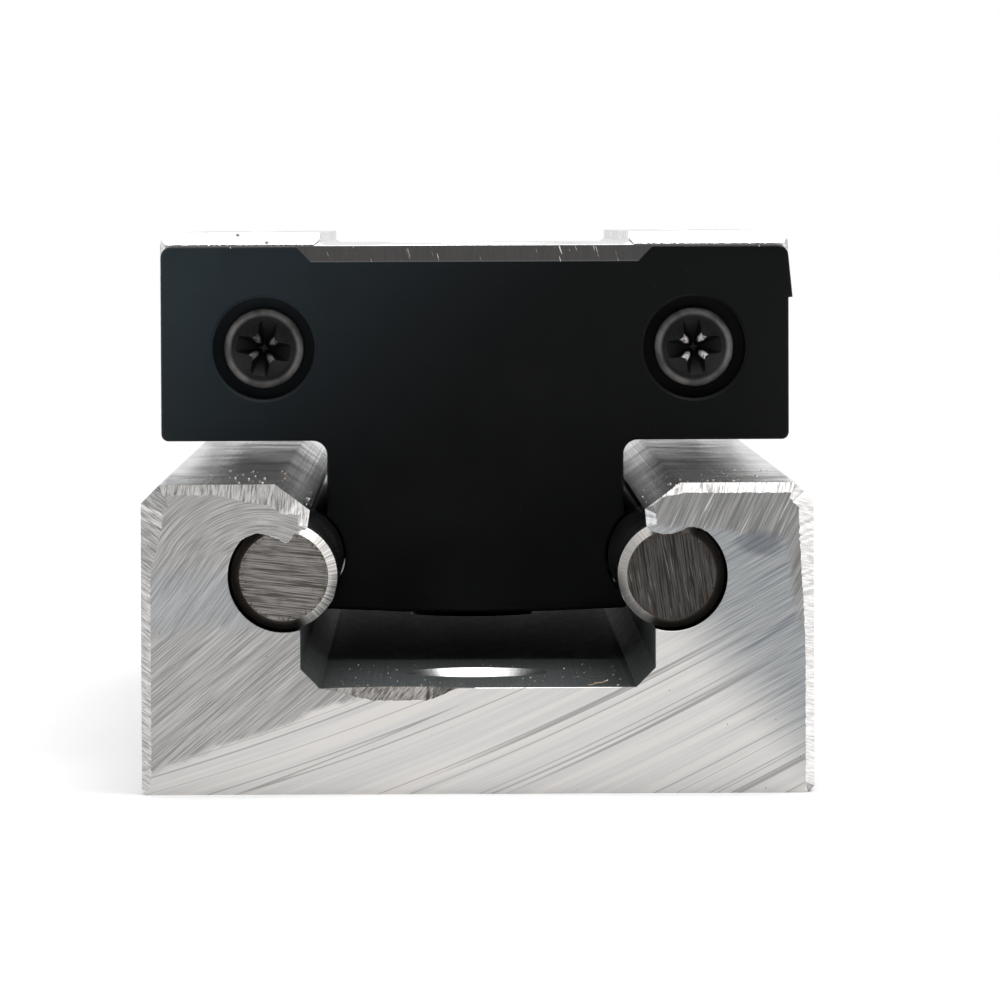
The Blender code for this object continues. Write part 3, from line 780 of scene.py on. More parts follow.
# ---------------------------------------------------------------- rail
def filed_width(part, side, x, z):
    """How far in from an edge the end has been filed; side is -1 on the left."""
    if side < 0:
        widths = {
            "side": 0.9 + 1.2 * smooth(z, 20.0, 27.0),
            "crown": 2.0,
            "top": 0.95 + 0.9 * (1.0 - smooth(x, 19.0, 25.0)),
            "slope": 1.85 - 0.8 * (1.0 - smooth(x, LIP_CORNER[0], 17.5)),
            "tip": 0.9,
            "floor": 1.15 * smooth(x, 1.4, 5.0) * (1.0 - smooth(x, 9.0, 15.2)),
        }
    else:
        widths = {
            "foot_edge": 0.6,
            "side": 0.85 + 0.6 * smooth(z, 12.0, 28.0),
            "crown": 1.4,
            "top": 0.9,
            "slope": 0.15 + 0.75 * smooth(x, 17.0, LIP_TOP_X),
            "tip": 0.95,
        }
    return max(0.05, widths.get(part, 0.05))


def file_tilt(part, side):
    """Depth of a filed edge along the rail for each mm of its width."""
    if part == "floor":
        return 1.6
    return 0.4 if side < 0 else 0.9


def rail_sides(side, crushed):
    """One half of the rail's outline, from foot to floor, as (part, points)."""
    step = 0.3
    tip_angle = angle_at(LIP_TIP_X, ROD[0], SOCKET_RADIUS)
    low_angle = -angle_at(CHANNEL_HALF, ROD[0], SOCKET_RADIUS)
    crush = [(ROD[0] + u, ROD[1] + v) for u, v in CRUSHED_LIP[side]]
    crush_angle = angle_at(crush[-1][0], ROD[0], SOCKET_RADIUS)
    upper = arc(ROD, SOCKET_RADIUS, tip_angle, crush_angle, 24)
    lower = arc(ROD, SOCKET_RADIUS, crush_angle, low_angle, 60)
    bridge = along(upper, count=48)
    if crushed:
        bridge = []
        for k, (x, z) in enumerate(along(crush, count=48)):
            tooth = 0.09 * noise.noise(Vector((5.0 * x, 7.0 * side, 2.0 * k)))
            bridge.append((x, z + (tooth if k else 0.0)))
    corners = [
        ("foot", (0.0, 0.0)),
        ("foot_edge", (RAIL_HALF - FOOT_CHAMFER, 0.0)),
        ("side", (RAIL_HALF, FOOT_CHAMFER)),
        ("crown", (RAIL_HALF, RAIL_TOP - TOP_CHAMFER)),
        ("top", (RAIL_HALF - TOP_CHAMFER, RAIL_TOP)),
        ("slope", (LIP_TOP_X, RAIL_TOP)),
        ("tip", LIP_CORNER),
    ]
    ends = [point for _, point in corners[1:]] + [bridge[0]]
    sides = []
    for (part, start), end in zip(corners, ends):
        count = max(2, round(math.dist(start, end) / step)) if part != "tip" else 7
        sides.append((part, along([start, end], count=count)))
    sides.append(("socket", bridge + along(lower, step)))
    wall_top = lower[-1]
    floor_edge = (CHANNEL_HALF, FLOOR_Z + FLOOR_CHAMFER)
    floor_start = (CHANNEL_HALF - FLOOR_CHAMFER, FLOOR_Z)
    sides.append(("wall", along([wall_top, floor_edge], step)))
    sides.append(("floor_edge", along([floor_edge, floor_start], step)))
    sides.append(("floor", along([floor_start, (0.0, FLOOR_Z)], step)))
    return sides


def filed_half(side, crushed, filed):
    """A half outline as (x, z, width, part), moved in by the filed width if asked."""
    sides = rail_sides(side, crushed)
    end = (0.0, FLOOR_Z)
    starts = [points[0] for _, points in sides] + [end]
    out = []
    for number, (part, points) in enumerate(sides):
        start, stop = starts[number], starts[number + 1]
        whole = points + [stop]
        first = inward(whole[0], whole[1])
        last = inward(whole[-2], whole[-1])
        previous = sides[number - 1][1] if number else None
        before = inward(previous[-1], start) if previous else first
        after = inward(stop, sides[number + 1][1][1]) if number + 1 < len(sides) else last
        next_part = sides[number + 1][0] if number + 1 < len(sides) else part
        first_width = filed_width(part, side, *start)
        last_width = filed_width(next_part, side, *stop)
        low = mitred(start, before, first, first_width)
        high = mitred(stop, last, after, last_width)
        for k, (x, z) in enumerate(points):
            ragged = 1.0 + 0.10 * noise.noise(Vector((3.1 * x, 40.0 * side, 3.1 * z)))
            width = filed_width(part, side, x, z) * ragged
            if not filed:
                out.append((x, z, width, part))
                continue
            if part == "socket":
                normal = inward(points[max(0, k - 1)], whole[k + 1])
                point = (x + normal[0] * width, z + normal[1] * width) if k else low
            else:
                t = k / len(points)
                extra = (width - lerp(first_width, last_width, t)) if k else 0.0
                point = (
                    lerp(low[0], high[0], t) + first[0] * extra,
                    lerp(low[1], high[1], t) + first[1] * extra,
                )
            out.append((*point, width, part))
    out.append((*(high if filed else end), 0.05, "floor"))
    return out


def rail_ring(crushed, filed, depth_of):
    """A closed ring of (x, y, z) points; depth_of gives each point's distance in."""
    ring = []
    for side in (1, -1):
        half = filed_half(side, crushed, filed)
        points = [
            (side * x, depth_of(part, side, width), z) for x, z, width, part in half
        ]
        ring += points if side > 0 else points[-2:0:-1]
    return ring


def rail_parts():
    """The part each point of a ring belongs to, with the side it is on."""
    labels = []
    for side in (1, -1):
        half = [(part, side) for _, _, _, part in filed_half(side, False, False)]
        labels += half if side > 0 else half[-2:0:-1]
    return labels


def build_rail(looks):
    def bevel(part, side, width):
        return file_tilt(part, side) * width

    def crush(part, side, width):
        return max(CRUSH_DEPTH, bevel(part, side, width) + 0.05)

    def clear(part, side, width):
        return max(CRUSH_END, bevel(part, side, width) + 0.15)

    near = [
        rail_ring(True, True, lambda *_: 0.0),
        rail_ring(True, False, bevel),
        rail_ring(True, False, crush),
        rail_ring(False, False, clear),
    ]
    rings = [[(x, y - RAIL_END, z) for x, y, z in ring] for ring in near]
    rings += [[(x, RAIL_END - y, z) for x, y, z in ring] for ring in reversed(near)]
    labels = rail_parts()
    ends = {0, len(rings) - 2}

    def look_of(row, k):
        part, side = labels[k]
        if row not in ends:
            if part in ("side", "foot", "foot_edge"):
                return SIDE
            return CHANNEL if part in ("wall", "floor_edge", "floor") else TOP
        if part == "tip":
            return BURNISHED if side > 0 else TOP_LEFT
        if part == "floor" and side < 0:
            return FLOOR_LEFT
        if part in ("side", "crown"):
            return SIDE_LEFT if side < 0 else SIDE_RIGHT
        if part in ("top", "slope", "foot_edge"):
            return TOP_LEFT if side < 0 else TOP_RIGHT
        return SAWN

    bm = bmesh.new()
    add_rings(bm, rings, look_of, first_look=SAWN, last_look=SAWN)
    rail = to_object("rail", bm, looks, smooth_angle=RAIL_SMOOTH)
    profile = [
        (0.0, -1.0),
        (BOLT_HOLE_RADIUS, -1.0),
        (BOLT_HOLE_RADIUS, FLOOR_Z + BOLT_HOLE_RADIUS - BOLT_MOUTH_RADIUS),
        (BOLT_MOUTH_RADIUS, FLOOR_Z),
        (BOLT_MOUTH_RADIUS + 1.0, FLOOR_Z + 1.0),
        (0.0, FLOOR_Z + 1.0),
    ]
    bm = bmesh.new()
    for y in (-BOLT_PITCH, 0.0, BOLT_PITCH):
        add_lathe(bm, profile, 72, at=(0.0, y, 0.0))
    boolean(rail, bm, bored_finish(), smooth_angle=RAIL_SMOOTH)
    scatter_dust(rail, dust_finish())
    stand_for(rail, "rail_extrusion", "rail")


def scatter_dust(rail, look):
    """Grains on the channel's floor and on the lips near the sawn end, and one fibre."""
    rail.data.materials.append(look)
    index = len(rail.data.materials) - 1
    bm = bmesh.new()
    bm.from_mesh(rail.data)
    known = set(bm.faces)
    pick = random.Random(11)
    for n in range(150):
        y = -RAIL_END + 0.3 + 34.0 * pick.random()
        if n % 2:
            x, z = pick.uniform(-13.5, 13.5), FLOOR_Z
            if math.hypot(x, y + BOLT_PITCH) < BOLT_MOUTH_RADIUS + 0.4:
                continue
        else:
            side = 1 if n % 4 else -1
            t = pick.random()
            x = lerp(LIP_CORNER[0] + 0.2, 28.5, t)
            z = min(RAIL_TOP, lerp(LIP_CORNER[1], RAIL_TOP, (x - LIP_CORNER[0]) / 3.25))
            x *= side
        radius = 0.035 + 0.06 * pick.random() ** 2
        shape = Matrix.Diagonal((pick.uniform(0.7, 1.8), pick.uniform(0.7, 1.8), 1.0, 1.0))
        matrix = Matrix.Translation(Vector((x, y, z + 0.7 * radius)) * MM) @ shape
        bmesh.ops.create_icosphere(bm, subdivisions=1, radius=radius * MM, matrix=matrix)
    fibre = [(10.2, 0.06), (10.6, 0.1), (11.0, 0.28), (11.5, 0.3), (12.1, 0.55)]
    rings = []
    for x, rise in fibre:
        centre = Vector((x, -RAIL_END + 1.6, FLOOR_Z + rise))
        ring = [centre + 0.06 * Vector((0.0, a, b)) for a, b in ((1, 0), (0, 1), (-1, 0), (0, -1))]
        rings.append([point * MM for point in ring])
    add_rings(bm, rings, lambda row, k: index)
    for face in bm.faces:
        if face not in known:
            face.material_index = index
    bmesh.ops.recalc_face_normals(bm, faces=[face for face in bm.faces if face not in known])
    bm.to_mesh(rail.data)
    bm.free()


def build_rods():
    """Ground shafts; their faces are sawn and their edges filed."""
    side_look = rod_side_finish()
    faces = {
        "rod_left": (-6.0, grey(0.07, 0.08), grey(0.34, 0.06), grey(0.95, 0.03)),
        "rod_right": (98.0, grey(0.025, 0.06), grey(0.10, 0.05), grey(0.46, 0.04)),
    }
    for name, (degrees, dark, light, bevel) in faces.items():
        low, high = node_box(name)
        centre = 0.5 * (low + high)
        reach = high.y - centre.y
        side = 1.0 if centre.x > 0.0 else -1.0
        looks = [
            side_look,
            rod_face_finish(name + "_face", degrees, dark, light),
            rod_bevel_finish(name + "_edge", side, bevel),
        ]
        face = ROD_RADIUS - ROD_CHAMFER
        profile = [
            (0.0, -reach),
            (face - 0.03, -reach),
            (face, 0.03 - reach),
            (ROD_RADIUS - 0.04, ROD_CHAMFER - 0.04 - reach),
            (ROD_RADIUS, ROD_CHAMFER + 0.05 - reach),
        ]
        profile += [(radius, -height) for radius, height in reversed(profile)]
        bm = bmesh.new()
        turn = Matrix.Rotation(math.radians(90), 4, "X")
        add_lathe(bm, profile, 96, turn=turn, looks=(1, 2, 2, 0, 0, 0, 2, 2, 1))
        rod = to_object(name + "_shaft", bm, looks, at=centre)
        stand_for(rod, name, "rail")


# ---------------------------------------------------------------- end caps
def neck_fillet(steps):
    centre = (NECK_HALF + NECK_FILLET, WING_BOTTOM - NECK_FILLET)
    return arc(centre, NECK_FILLET, 180.0, 90.0, steps)


def cap_outline():
    """Front view of a cap, anticlockwise from the middle of its foot."""
    foot = 360.0 - angle_at(CAP_FOOT_HALF, ROD[0], CAP_ARC)
    neck = angle_at(NECK_HALF, ROD[0], CAP_ARC)
    wing = (CAP_HALF - CAP_WING_ROUND, WING_BOTTOM + CAP_WING_ROUND)
    crown = (CAP_HALF - CAP_TOP_CHAMFER, CAP_HIGH.z - CAP_TOP_CHAMFER)
    low = CAP_LOW.z + CAP_FOOT_RISE
    side = [(0.5 * CAP_FOOT_HALF, CAP_LOW.z + 0.25 * CAP_FOOT_RISE)]
    side += [(CAP_FOOT_HALF - 0.4, low), (CAP_FOOT_HALF, low + 0.4)]
    side += arc(ROD, CAP_ARC, foot, neck, 40)
    side += neck_fillet(8)
    side += arc(wing, CAP_WING_ROUND, -90.0, 0.0, 6)
    top = arc(crown, CAP_TOP_CHAMFER, 0.0, 90.0, 6)
    ear = [(CAP_HALF, EAR_LOW), (CAP_HIGH.x, EAR_LOW + 0.05)]
    left = [(-x, z) for x, z in reversed(side + top)]
    return [(0.0, CAP_LOW.z)] + side + ear + top + left


def add_notch(bm):
    """A bevel across the middle of the top edge, its ends sloping in."""
    flare = (NOTCH_TOP_HALF - NOTCH_LOW_HALF) / NOTCH_HEIGHT
    slope = NOTCH_DEPTH / NOTCH_HEIGHT
    low = CAP_HIGH.z - NOTCH_HEIGHT - 1.0
    high = CAP_HIGH.z + 1.0
    near, far = -slope, NOTCH_DEPTH + slope
    low_half, high_half = NOTCH_LOW_HALF - flare, NOTCH_TOP_HALF + flare
    a, b, c, d, e, f = [
        bm.verts.new(point)
        for point in (
            (-low_half, near, low),
            (low_half, near, low),
            (high_half, near, high),
            (-high_half, near, high),
            (high_half, far, high),
            (-high_half, far, high),
        )
    ]
    for corners in ((a, b, c, d), (a, f, e, b), (d, c, e, f), (b, e, c), (a, d, f)):
        bm.faces.new(corners)


def add_cap_bores(bm):
    """Countersunk wells for both screws, with a clearance hole behind each."""
    bore = [
        (0.0, -2.0),
        (6.3, -1.0),
        (5.2, 0.1),
        (5.05, 0.22),
        (5.0, 0.4),
        (5.0, 3.3),
        (2.4, 3.3),
        (2.4, CAP_DEPTH + 1.0),
        (0.0, CAP_DEPTH + 1.0),
    ]
    back = Matrix.Rotation(math.radians(-90), 4, "X")
    for screw in ("front_screw_left", "front_screw_right"):
        centre = node_centre(screw)
        add_lathe(bm, bore, 72, at=(centre.x, 0.0, centre.z), turn=back)


def build_cap(name, sign, plastic, rubbed):
    """One moulding, its face at y = 0 in its own space; sign is -1 for the rear."""
    outline = cap_outline()
    crown = CAP_HIGH.z - 0.2
    low, high = node_box(name)
    face = low.y if sign > 0 else high.y
    turn = None if sign > 0 else Matrix.Rotation(math.pi, 4, "Z")
    rings = []
    for y, width in rounded_stations(0.0, CAP_DEPTH, 0.3):
        rings.append([(x, y, z) for x, z in inset(outline, width)])
    bm = bmesh.new()
    # The first rows of the top edge's rounding take the rubbed finish as a painted highlight along
    # that edge.
    add_rings(bm, rings, lambda row, k: int(row in (1, 2) and outline[k][1] > crown))
    cap = to_object(name + "_moulding", bm, [plastic, rubbed], at=(0.0, face, 0.0), turn=turn)
    bm = bmesh.new()
    add_notch(bm)
    boolean(cap, bm, rubbed)
    bm = bmesh.new()
    add_cap_bores(bm)
    boolean(cap, bm, plastic)
    stand_for(cap, name, "carriage")


def build_caps():
    plastic = plastic_finish()
    rubbed = rubbed_notch_and_edge_highlight_finish()
    build_cap("front_end_cap", 1, plastic, rubbed)
    build_cap("rear_end_cap", -1, plastic, rubbed)


# ---------------------------------------------------------------- screws
def recess_outline(reach, width, steps=5):
    """Cross with rounded arm ends and rounded inner corners."""
    half = 0.5 * width
    corner = 0.45 * half
    fillet = 0.55
    quarter = arc((reach - corner, corner - half), corner, -90.0, 0.0, steps)
    quarter += arc((reach - corner, half - corner), corner, 0.0, 90.0, steps)
    quarter += arc((half + fillet, half + fillet), fillet, 270.0, 180.0, steps)
    points = []
    for k in range(4):
        turn = Matrix.Rotation(0.5 * math.pi * k, 2)
        points += [tuple(turn @ Vector(point)) for point in quarter]
    return points


def screw_profile(radius, length):
    """From the tip to the crown of a pan head whose top is at 0."""
    profile = [(0.0, -length), (1.3, -length), (1.95, 0.8 - length)]
    for k in range(round((length - 4.5) / SCREW_PITCH)):
        z = 0.9 - length + SCREW_PITCH * k
        profile += [(1.6, z), (1.98, z + 0.3), (1.98, z + 0.38)]
    profile += [(1.6, -2.9), (1.9, -2.7), (radius - 0.3, -2.7), (radius, -2.4)]
    for k in range(16):
        share = math.sin(0.5 * math.pi * (1.0 - k / 16))
        profile.append((radius * share, -SCREW_DOME * (1.0 - math.sqrt(1.0 - share ** 3))))
    return profile + [(0.0, 0.0)]


def build_screws(look):
    """Four screws; each has its lean, its twist in degrees and the strength of the wear and painted
    glints in its recess.
    """
    twists = {
        "front_screw_left": (90.0, -11.0, 0.22),
        "front_screw_right": (90.0, 6.0, 1.0),
        "rear_screw_left": (-90.0, 31.0, 0.4),
        "rear_screw_right": (-90.0, 67.0, 0.5),
    }
    for name, (lean, twist, wear_and_glint) in twists.items():
        low, high = node_box(name)
        centre = 0.5 * (low + high)
        turn = Matrix.Rotation(math.radians(lean), 4, "X")
        turn = turn @ Matrix.Rotation(math.radians(twist), 4, "Z")
        bm = bmesh.new()
        add_lathe(bm, screw_profile(0.5 * (high.z - low.z), high.y - low.y), 64)
        at = (centre.x, low.y if lean > 0 else high.y, centre.z)
        screw = to_object(name + "_pan_head", bm, [look], at=at, turn=turn)
        bm = bmesh.new()
        add_prism(bm, recess_outline(3.75, 2.3), 0.8, -2.6, taper=0.1)
        boolean(screw, bm, recess_finish(name + "_recess", wear_and_glint))
        stand_for(screw, name, "carriage")


# ---------------------------------------------------------------- carriage block
def block_outline():
    """Right half of the block's section, then its mirror image."""
    half = BLOCK_HIGH.x
    top = BLOCK_HIGH.z
    right = [(0.0, BLOCK_LOW.z), (NECK_HALF - 0.8, BLOCK_LOW.z), (NECK_HALF, BLOCK_LOW.z + 0.8)]
    right += neck_fillet(6)
    right += [(UNDER_REACH, WING_BOTTOM), (half - 0.5, WING_BOTTOM)]
    right += [(half, WING_BOTTOM + 0.5), (half, top - 1.3)]
    right += arc((half - 1.3, top - 1.3), 1.3, 15.0, 90.0, 4)
    right += [(PAD_INNER, top), (PAD_INNER, top - PAD_STEP)]
    right += [(PAD_INNER - PAD_SLOPE, RELIEF_TOP)]
    return right + [(-x, z) for x, z in reversed(right) if x > 0.0]


def add_block_holes(bm):
    """A stepped hole over each stud and nut, and four tapped holes in the pads."""
    middle = 0.5 * (BLOCK_LOW.y + BLOCK_HIGH.y)
    top = BLOCK_HIGH.z
    for k in range(1, 5):
        nut = node_centre(f"roller_{k}_nut")
        seat = node_box(f"roller_{k}_nut")[0].z - 0.3
        hole = [
            (0.0, BLOCK_LOW.z - 1.0),
            (4.2, BLOCK_LOW.z - 1.0),
            (4.2, seat),
            (8.6, seat),
            (8.6, RELIEF_TOP - 0.25),
            (8.85, RELIEF_TOP),
            (9.85, RELIEF_TOP + 1.0),
            (9.85, top + 1.0),
            (0.0, top + 1.0),
        ]
        add_lathe(bm, hole, 72, at=(nut.x, nut.y, 0.0))
    pad = [
        (0.0, top - 15.5),
        (2.5, top - 14.0),
        (2.5, top - 0.7),
        (4.2, top + 1.0),
        (0.0, top + 1.0),
    ]
    for x in (-23.0, 23.0):
        for y in (middle - 33.0, middle + 33.0):
            add_lathe(bm, pad, 48, at=(x, y, 0.0))


def add_edge_wedge(bm, face, sign):
    """A ragged 45-degree cut along the pads' end edges; sign points into the block."""
    top = BLOCK_HIGH.z + 0.25
    foot = RELIEF_TOP + 0.08
    reach = BLOCK_HIGH.x + 0.5
    rings = []
    for k in range(241):
        x = lerp(-reach, reach, k / 240)
        ragged = 0.14 * noise.noise(Vector((1.3 * x, 2.0 * sign, 0.0)))
        ragged += 0.12 * noise.noise(Vector((5.1 * x, 7.0 * sign, 0.0)))
        near = face - 1.0 * sign
        far = face + sign * (top - foot + ragged)
        rings.append([(x, near, foot - 1.0 + ragged), (x, far, top), (x, near, top)])
    add_rings(bm, rings, lambda row, k: 0)


def block_look(outline, k):
    """The finish of the outline's k-th side, between the broken end edges."""
    a, b = outline[k], outline[(k + 1) % len(outline)]
    reach = UNDER_REACH + 0.1
    if max(a[1], b[1]) < WING_BOTTOM + 0.1 and abs(a[0]) < reach and abs(b[0]) < reach:
        return UNDER
    if abs(a[0] - b[0]) < 0.1 and abs(a[0]) > reach:
        return FLANK
    return MILLED


def build_block(looks):
    outline = block_outline()
    rings = []
    low, high = BLOCK_LOW.y, BLOCK_HIGH.y
    for y, width in ((low, 0.55), (low + 0.55, 0.02), (high - 0.55, 0.02), (high, 0.55)):
        rings.append([(x, y, z) for x, z in inset(outline, width)])
    sides = [block_look(outline, k) for k in range(len(outline))]
    bm = bmesh.new()
    add_rings(bm, rings, lambda row, k: sides[k] if row == 1 else BROKEN)
    block = to_object("carriage_t_block", bm, looks)
    for face, sign in ((low, 1.0), (high, -1.0)):
        bm = bmesh.new()
        add_edge_wedge(bm, face, sign)
        boolean(block, bm, looks[BROKEN])
    bm = bmesh.new()
    add_block_holes(bm)
    boolean(block, bm, looks[MILLED])
    stand_for(block, "carriage_block", "carriage")


# ---------------------------------------------------------------- rollers
def turned_piece(name, profile, at, look):
    bm = bmesh.new()
    add_lathe(bm, profile, 96)
    return to_object(name, bm, [look], at=at, smooth_angle=35)


def build_ring(k, axis, half, look):
    """Outer ring: a groove round the shaft outside, a ball race inside."""
    name = f"roller_{k}_ring"
    low, high = node_box(name)
    radius = 0.5 * (high.x - low.x)
    reach = ROD[0] - abs(axis.x)
    groove = ROD_RADIUS + 0.3
    edge = angle_at(radius, reach, groove)
    profile = [(RING_BORE, -half + 0.25), (RING_BORE + 0.25, -half), (radius - 0.35, -half)]
    profile += arc((radius - 0.3, 0.3 - half), 0.3, -80.0, 0.0, 3)
    profile += arc((reach, 0.0), groove, 360.0 - edge, edge, 24)
    profile += arc((radius - 0.3, half - 0.3), 0.3, 0.0, 80.0, 3)
    profile += [(radius - 0.35, half), (RING_BORE + 0.25, half), (RING_BORE, half - 0.25)]
    profile += arc((BALL_PITCH, 0.0), RACE_RADIUS, 50.0, -50.0, 10)
    ring = turned_piece(name + "_outer_race", profile, axis, look)
    stand_for(ring, name, f"wheel_{k}")


def build_inner(name, axis, half, look):
    profile = [(4.0, half - 0.2), (4.0, 0.2 - half), (4.2, -half), (5.1, -half)]
    profile += [(5.3, 0.2 - half)]
    profile += arc((BALL_PITCH, 0.0), RACE_RADIUS, 230.0, 130.0, 10)
    profile += [(5.3, half - 0.2), (5.1, half), (4.2, half)]
    inner = turned_piece(name + "_race", profile, axis, look)
    stand_for(inner, name, "carriage")


def build_spacer(name, axis, look):
    low, high = node_box(name)
    bottom, top = low.z - axis.z, high.z - axis.z
    outer = 0.5 * (high.x - low.x)
    profile = [(4.1, bottom), (5.9, bottom), (outer, top - 0.25), (outer, top), (4.1, top)]
    spacer = turned_piece(name + "_collar", profile, axis, look)
    stand_for(spacer, name, "carriage")


def build_cage(k, axis, looks):
    """Eight balls joined by the band that keeps them apart."""
    bm = bmesh.new()
    add_lathe(bm, [(5.9, -0.7), (6.7, -0.7), (6.7, 0.7), (5.9, 0.7)], 64)
    cage = to_object(f"roller_{k}_caged_balls", bm, [looks["cage"]], at=axis)
    bm = bmesh.new()
    ball = [(0.0, -BALL_RADIUS)]
    ball += arc((0.0, 0.0), BALL_RADIUS, -75.0, 75.0, 10)
    ball += [(0.0, BALL_RADIUS)]
    for n in range(8):
        angle = math.tau * (n + 0.5) / 8
        at = (BALL_PITCH * math.cos(angle), BALL_PITCH * math.sin(angle), 0.0)
        add_lathe(bm, ball, 20, at=at)
    boolean(cage, bm, looks["ball"], "UNION")
    stand_for(cage, f"roller_{k}_cage", f"cage_{k}")


def build_stud(name, axis, look):
    """Headed pin with a threaded shank, eccentric on one side."""
    low, high = node_box(name + "_stud")
    nut = node_centre(name + "_nut")
    shank = (nut.x - axis.x, 0.0, 0.0)
    bottom, top = low.z, high.z
    step = BLOCK_LOW.z - 0.15
    head = bottom + STUD_HEAD
    profile = [(0.0, bottom), (5.2, bottom), (5.6, bottom + 0.3), (5.6, head - 0.15)]
    profile += [(5.45, head), (3.7, head), (3.7, step), (0.0, step)]
    bm = bmesh.new()
    add_lathe(bm, profile, 64)
    stud = to_object(name + "_pin", bm, [look], at=(axis.x, axis.y, 0.0))

    # One turn of thread to a millimetre.
    profile = [(0.0, step - 0.1), (STUD_RADIUS, step - 0.1)]
    turns = round(top - 1.2 - nut.z + 8.0)
    for turn in range(turns):
        z = top - 1.2 - turns + turn
        profile += [(THREAD_ROOT, z), (STUD_RADIUS, z + 0.42), (STUD_RADIUS, z + 0.55)]
    profile += [(THREAD_ROOT, top - 1.2), (3.6, top - 0.75), (2.95, top), (0.0, top)]
    bm = bmesh.new()
    add_lathe(bm, profile, 64, at=shank)
    boolean(stud, bm, look, "UNION")
    bm = bmesh.new()
    socket = arc((0.0, 0.0), 4.0 / math.sqrt(3.0), 0.0, 300.0, 5)
    add_prism(bm, socket, top - 3.5, top + 1.0, at=shank)
    boolean(stud, bm, look)
    stand_for(stud, name + "_stud", "carriage")


def build_nut(name, look):
    """A turned blank trimmed to six flats, which leaves its corners chamfered."""
    low, high = node_box(name + "_nut")
    centre = 0.5 * (low + high)
    corner = (high.y - low.y) / math.sqrt(3.0)
    profile = [(4.0, low.z + 0.5), (4.5, low.z), (corner - 0.75, low.z)]
    profile += [(corner, low.z + 0.45), (corner, high.z - 0.45)]
    profile += [(corner - 0.75, high.z), (4.5, high.z), (4.0, high.z - 0.5)]
    bm = bmesh.new()
    add_lathe(bm, profile, 96)
    nut = to_object(name + "_hex_nut", bm, [look], at=(centre.x, centre.y, 0.0))
    bm = bmesh.new()
    hexagon = arc((0.0, 0.0), corner, 0.0, 300.0, 5)
    add_prism(bm, hexagon, low.z - 1.0, high.z + 1.0)
    boolean(nut, bm, look, "INTERSECT")
    stand_for(nut, name + "_nut", "carriage")


def build_roller(k, looks):
    name = f"roller_{k}"
    low, high = node_box(name + "_ring")
    axis = 0.5 * (low + high)
    half = 0.5 * (high.z - low.z)
    build_ring(k, axis, half, looks["ring"])
    build_inner(name + "_inner", axis, half, looks["inner"])
    build_spacer(name + "_spacer", axis, looks["spacer"])
    build_cage(k, axis, looks)
    build_stud(name, axis, looks["stud"])
    build_nut(name, looks["nut"])


# ---------------------------------------------------------------- stage
def build_floor():
    f = Finish("paper_sweep", grey(0.975), 0.9, metallic=0.0, specular=0.1)
    f.colour(f.mix(f.step(f.grain(40.0, 3.0), 0.2, 0.8), grey(0.975), grey(0.98)))
    bm = bmesh.new()
    size = 6000.0
    corners = [(-size, -size), (size, -size), (size, size), (-size, size)]
    bm.faces.new([bm.verts.new((x, y, 0.0)) for x, y in corners])
    floor = to_object("floor", bm, [f.material])


def build_world():
    """White to the camera; to the object, bright all round but dim behind the camera."""
    world = bpy.data.worlds.new("studio")
    world.use_nodes = True
    tree = world.node_tree
    shade = tree.nodes["Background"]
    where = tree.nodes.new("ShaderNodeTexCoord")
    split = tree.nodes.new("ShaderNodeSeparateXYZ")
    tree.links.new(where.outputs["Generated"], split.inputs[0])

    def curve(socket, low, high, start, end):
        made = tree.nodes.new("ShaderNodeMapRange")
        made.interpolation_type = "SMOOTHSTEP"
        tree.links.new(socket, made.inputs[0])
        for key, value in enumerate((low, high, start, end), start=1):
            made.inputs[key].default_value = value
        return made.outputs[0]

    def combine(operation, a, b):
        made = tree.nodes.new("ShaderNodeMath")
        made.operation = operation
        for key, value in enumerate((a, b)):
            if isinstance(value, bpy.types.NodeSocket):
                tree.links.new(value, made.inputs[key])
            else:
                made.inputs[key].default_value = value
        return made.outputs[0]

    behind = curve(split.outputs[1], -0.95, -0.3, 0.2, 0.9)
    above = curve(split.outputs[2], 0.5, 0.95, 0.0, 1.0)
    left = curve(split.outputs[0], -0.8, -0.1, -0.1, 0.0)
    around = combine("ADD", behind, left)
    total = combine("ADD", around, combine("MULTIPLY", above, 0.55))
    rays = tree.nodes.new("ShaderNodeLightPath")
    seen = combine("MAXIMUM", rays.outputs["Is Camera Ray"], total)
    shade.inputs["Color"].default_value = (1.0, 1.0, 1.0, 1.0)
    tree.links.new(seen, shade.inputs["Strength"])
    bpy.context.scene.world = world


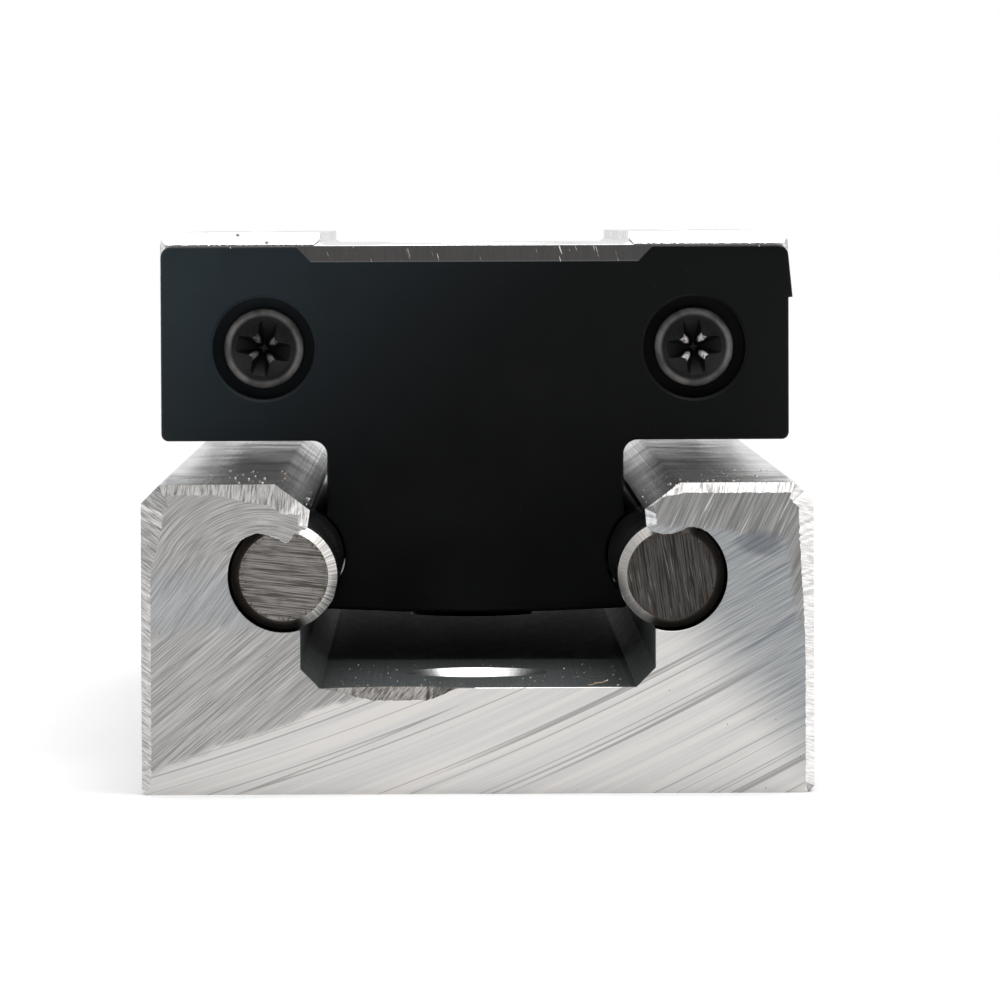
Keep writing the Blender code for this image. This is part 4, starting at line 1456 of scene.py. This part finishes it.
def build_camera():
    """At the photograph's viewpoint: nearly level, looking along the rail."""
    data = bpy.data.cameras.new("camera")
    data.lens = 248.8
    data.sensor_width = 36.0
    data.clip_start = 0.01
    camera = bpy.data.objects.new("camera", data)
    bpy.context.scene.collection.objects.link(camera)
    aim = Matrix.Rotation(math.radians(-0.456), 4, "Z")
    aim = aim @ Matrix.Rotation(math.radians(90.0 - 2.336), 4, "X")
    aim = aim @ Matrix.Rotation(math.radians(-0.22), 4, "Z")
    camera.matrix_world = Matrix.Translation(Vector((-3.0, -762.0, 53.4)) * MM) @ aim
    bpy.context.scene.camera = camera


def build_lights():
    key = bpy.data.lights.new("overhead", "AREA")
    key.shape = "RECTANGLE"
    key.size = 0.5
    key.size_y = 0.5
    key.energy = 1.6
    lamp = bpy.data.objects.new("overhead", key)
    lamp.location = (0.1, -0.05, 0.6)
    lamp.visible_camera = False
    bpy.context.scene.collection.objects.link(lamp)


def main():
    build_camera()
    build_world()
    build_lights()
    build_floor()
    rail_looks = [
        extruded_finish("extruded_top", 0.8, 0.16),
        sawn_finish(),
        filed_finish("filed_side_left", grey(0.36, 0.02), grey(0.72, 0.01), 145.0),
        filed_finish("filed_top_left", grey(0.26, 0.04), grey(0.85, 0.02), 84.0),
        burnished_finish(),
        filed_finish("filed_floor", grey(0.035, 0.08), grey(0.15, 0.05), 50.0),
        filed_finish("filed_side_right", grey(0.6, 0.03), grey(0.9, 0.01), 165.0),
        filed_finish("filed_top_right", grey(0.22, 0.03), grey(0.52, 0.01), 75.0),
        channel_finish(),
        # Painted shade: the rail's long sides take the extrusion finish at a darker tone than its top,
        # standing in for their shade.
        extruded_finish("extruded_shaded_side", 0.54, 0.3),
    ]
    build_rail(rail_looks)
    build_rods()
    build_caps()
    build_screws(screw_finish())
    build_block([
        milled_finish("milled_top", 0.76),
        rough_edge_finish(),
        underside_shade_finish(),
        # Painted shade: the block's flanks take the milled finish at a darker tone than its top,
        # standing in for their shade.
        milled_finish("milled_shaded_side", 0.56),
    ])
    roller_looks = {
        "ring": turned_finish("ring_steel", 0.34, 0.22),
        "inner": turned_finish("race_steel", 0.54, 0.18),
        "cage": turned_finish("cage_steel", 0.42, 0.3),
        "ball": turned_finish("ball_steel", 0.62, 0.06, 3.0),
        "stud": turned_finish("stud_steel", 0.22, 0.3),
        "spacer": turned_finish("spacer_steel", 0.46, 0.28),
        "nut": turned_finish("zinc_steel", 0.56, 0.26),
    }
    for k in range(1, 5):
        build_roller(k, roller_looks)
    bpy.context.scene.view_settings.view_transform = "Standard"


main()
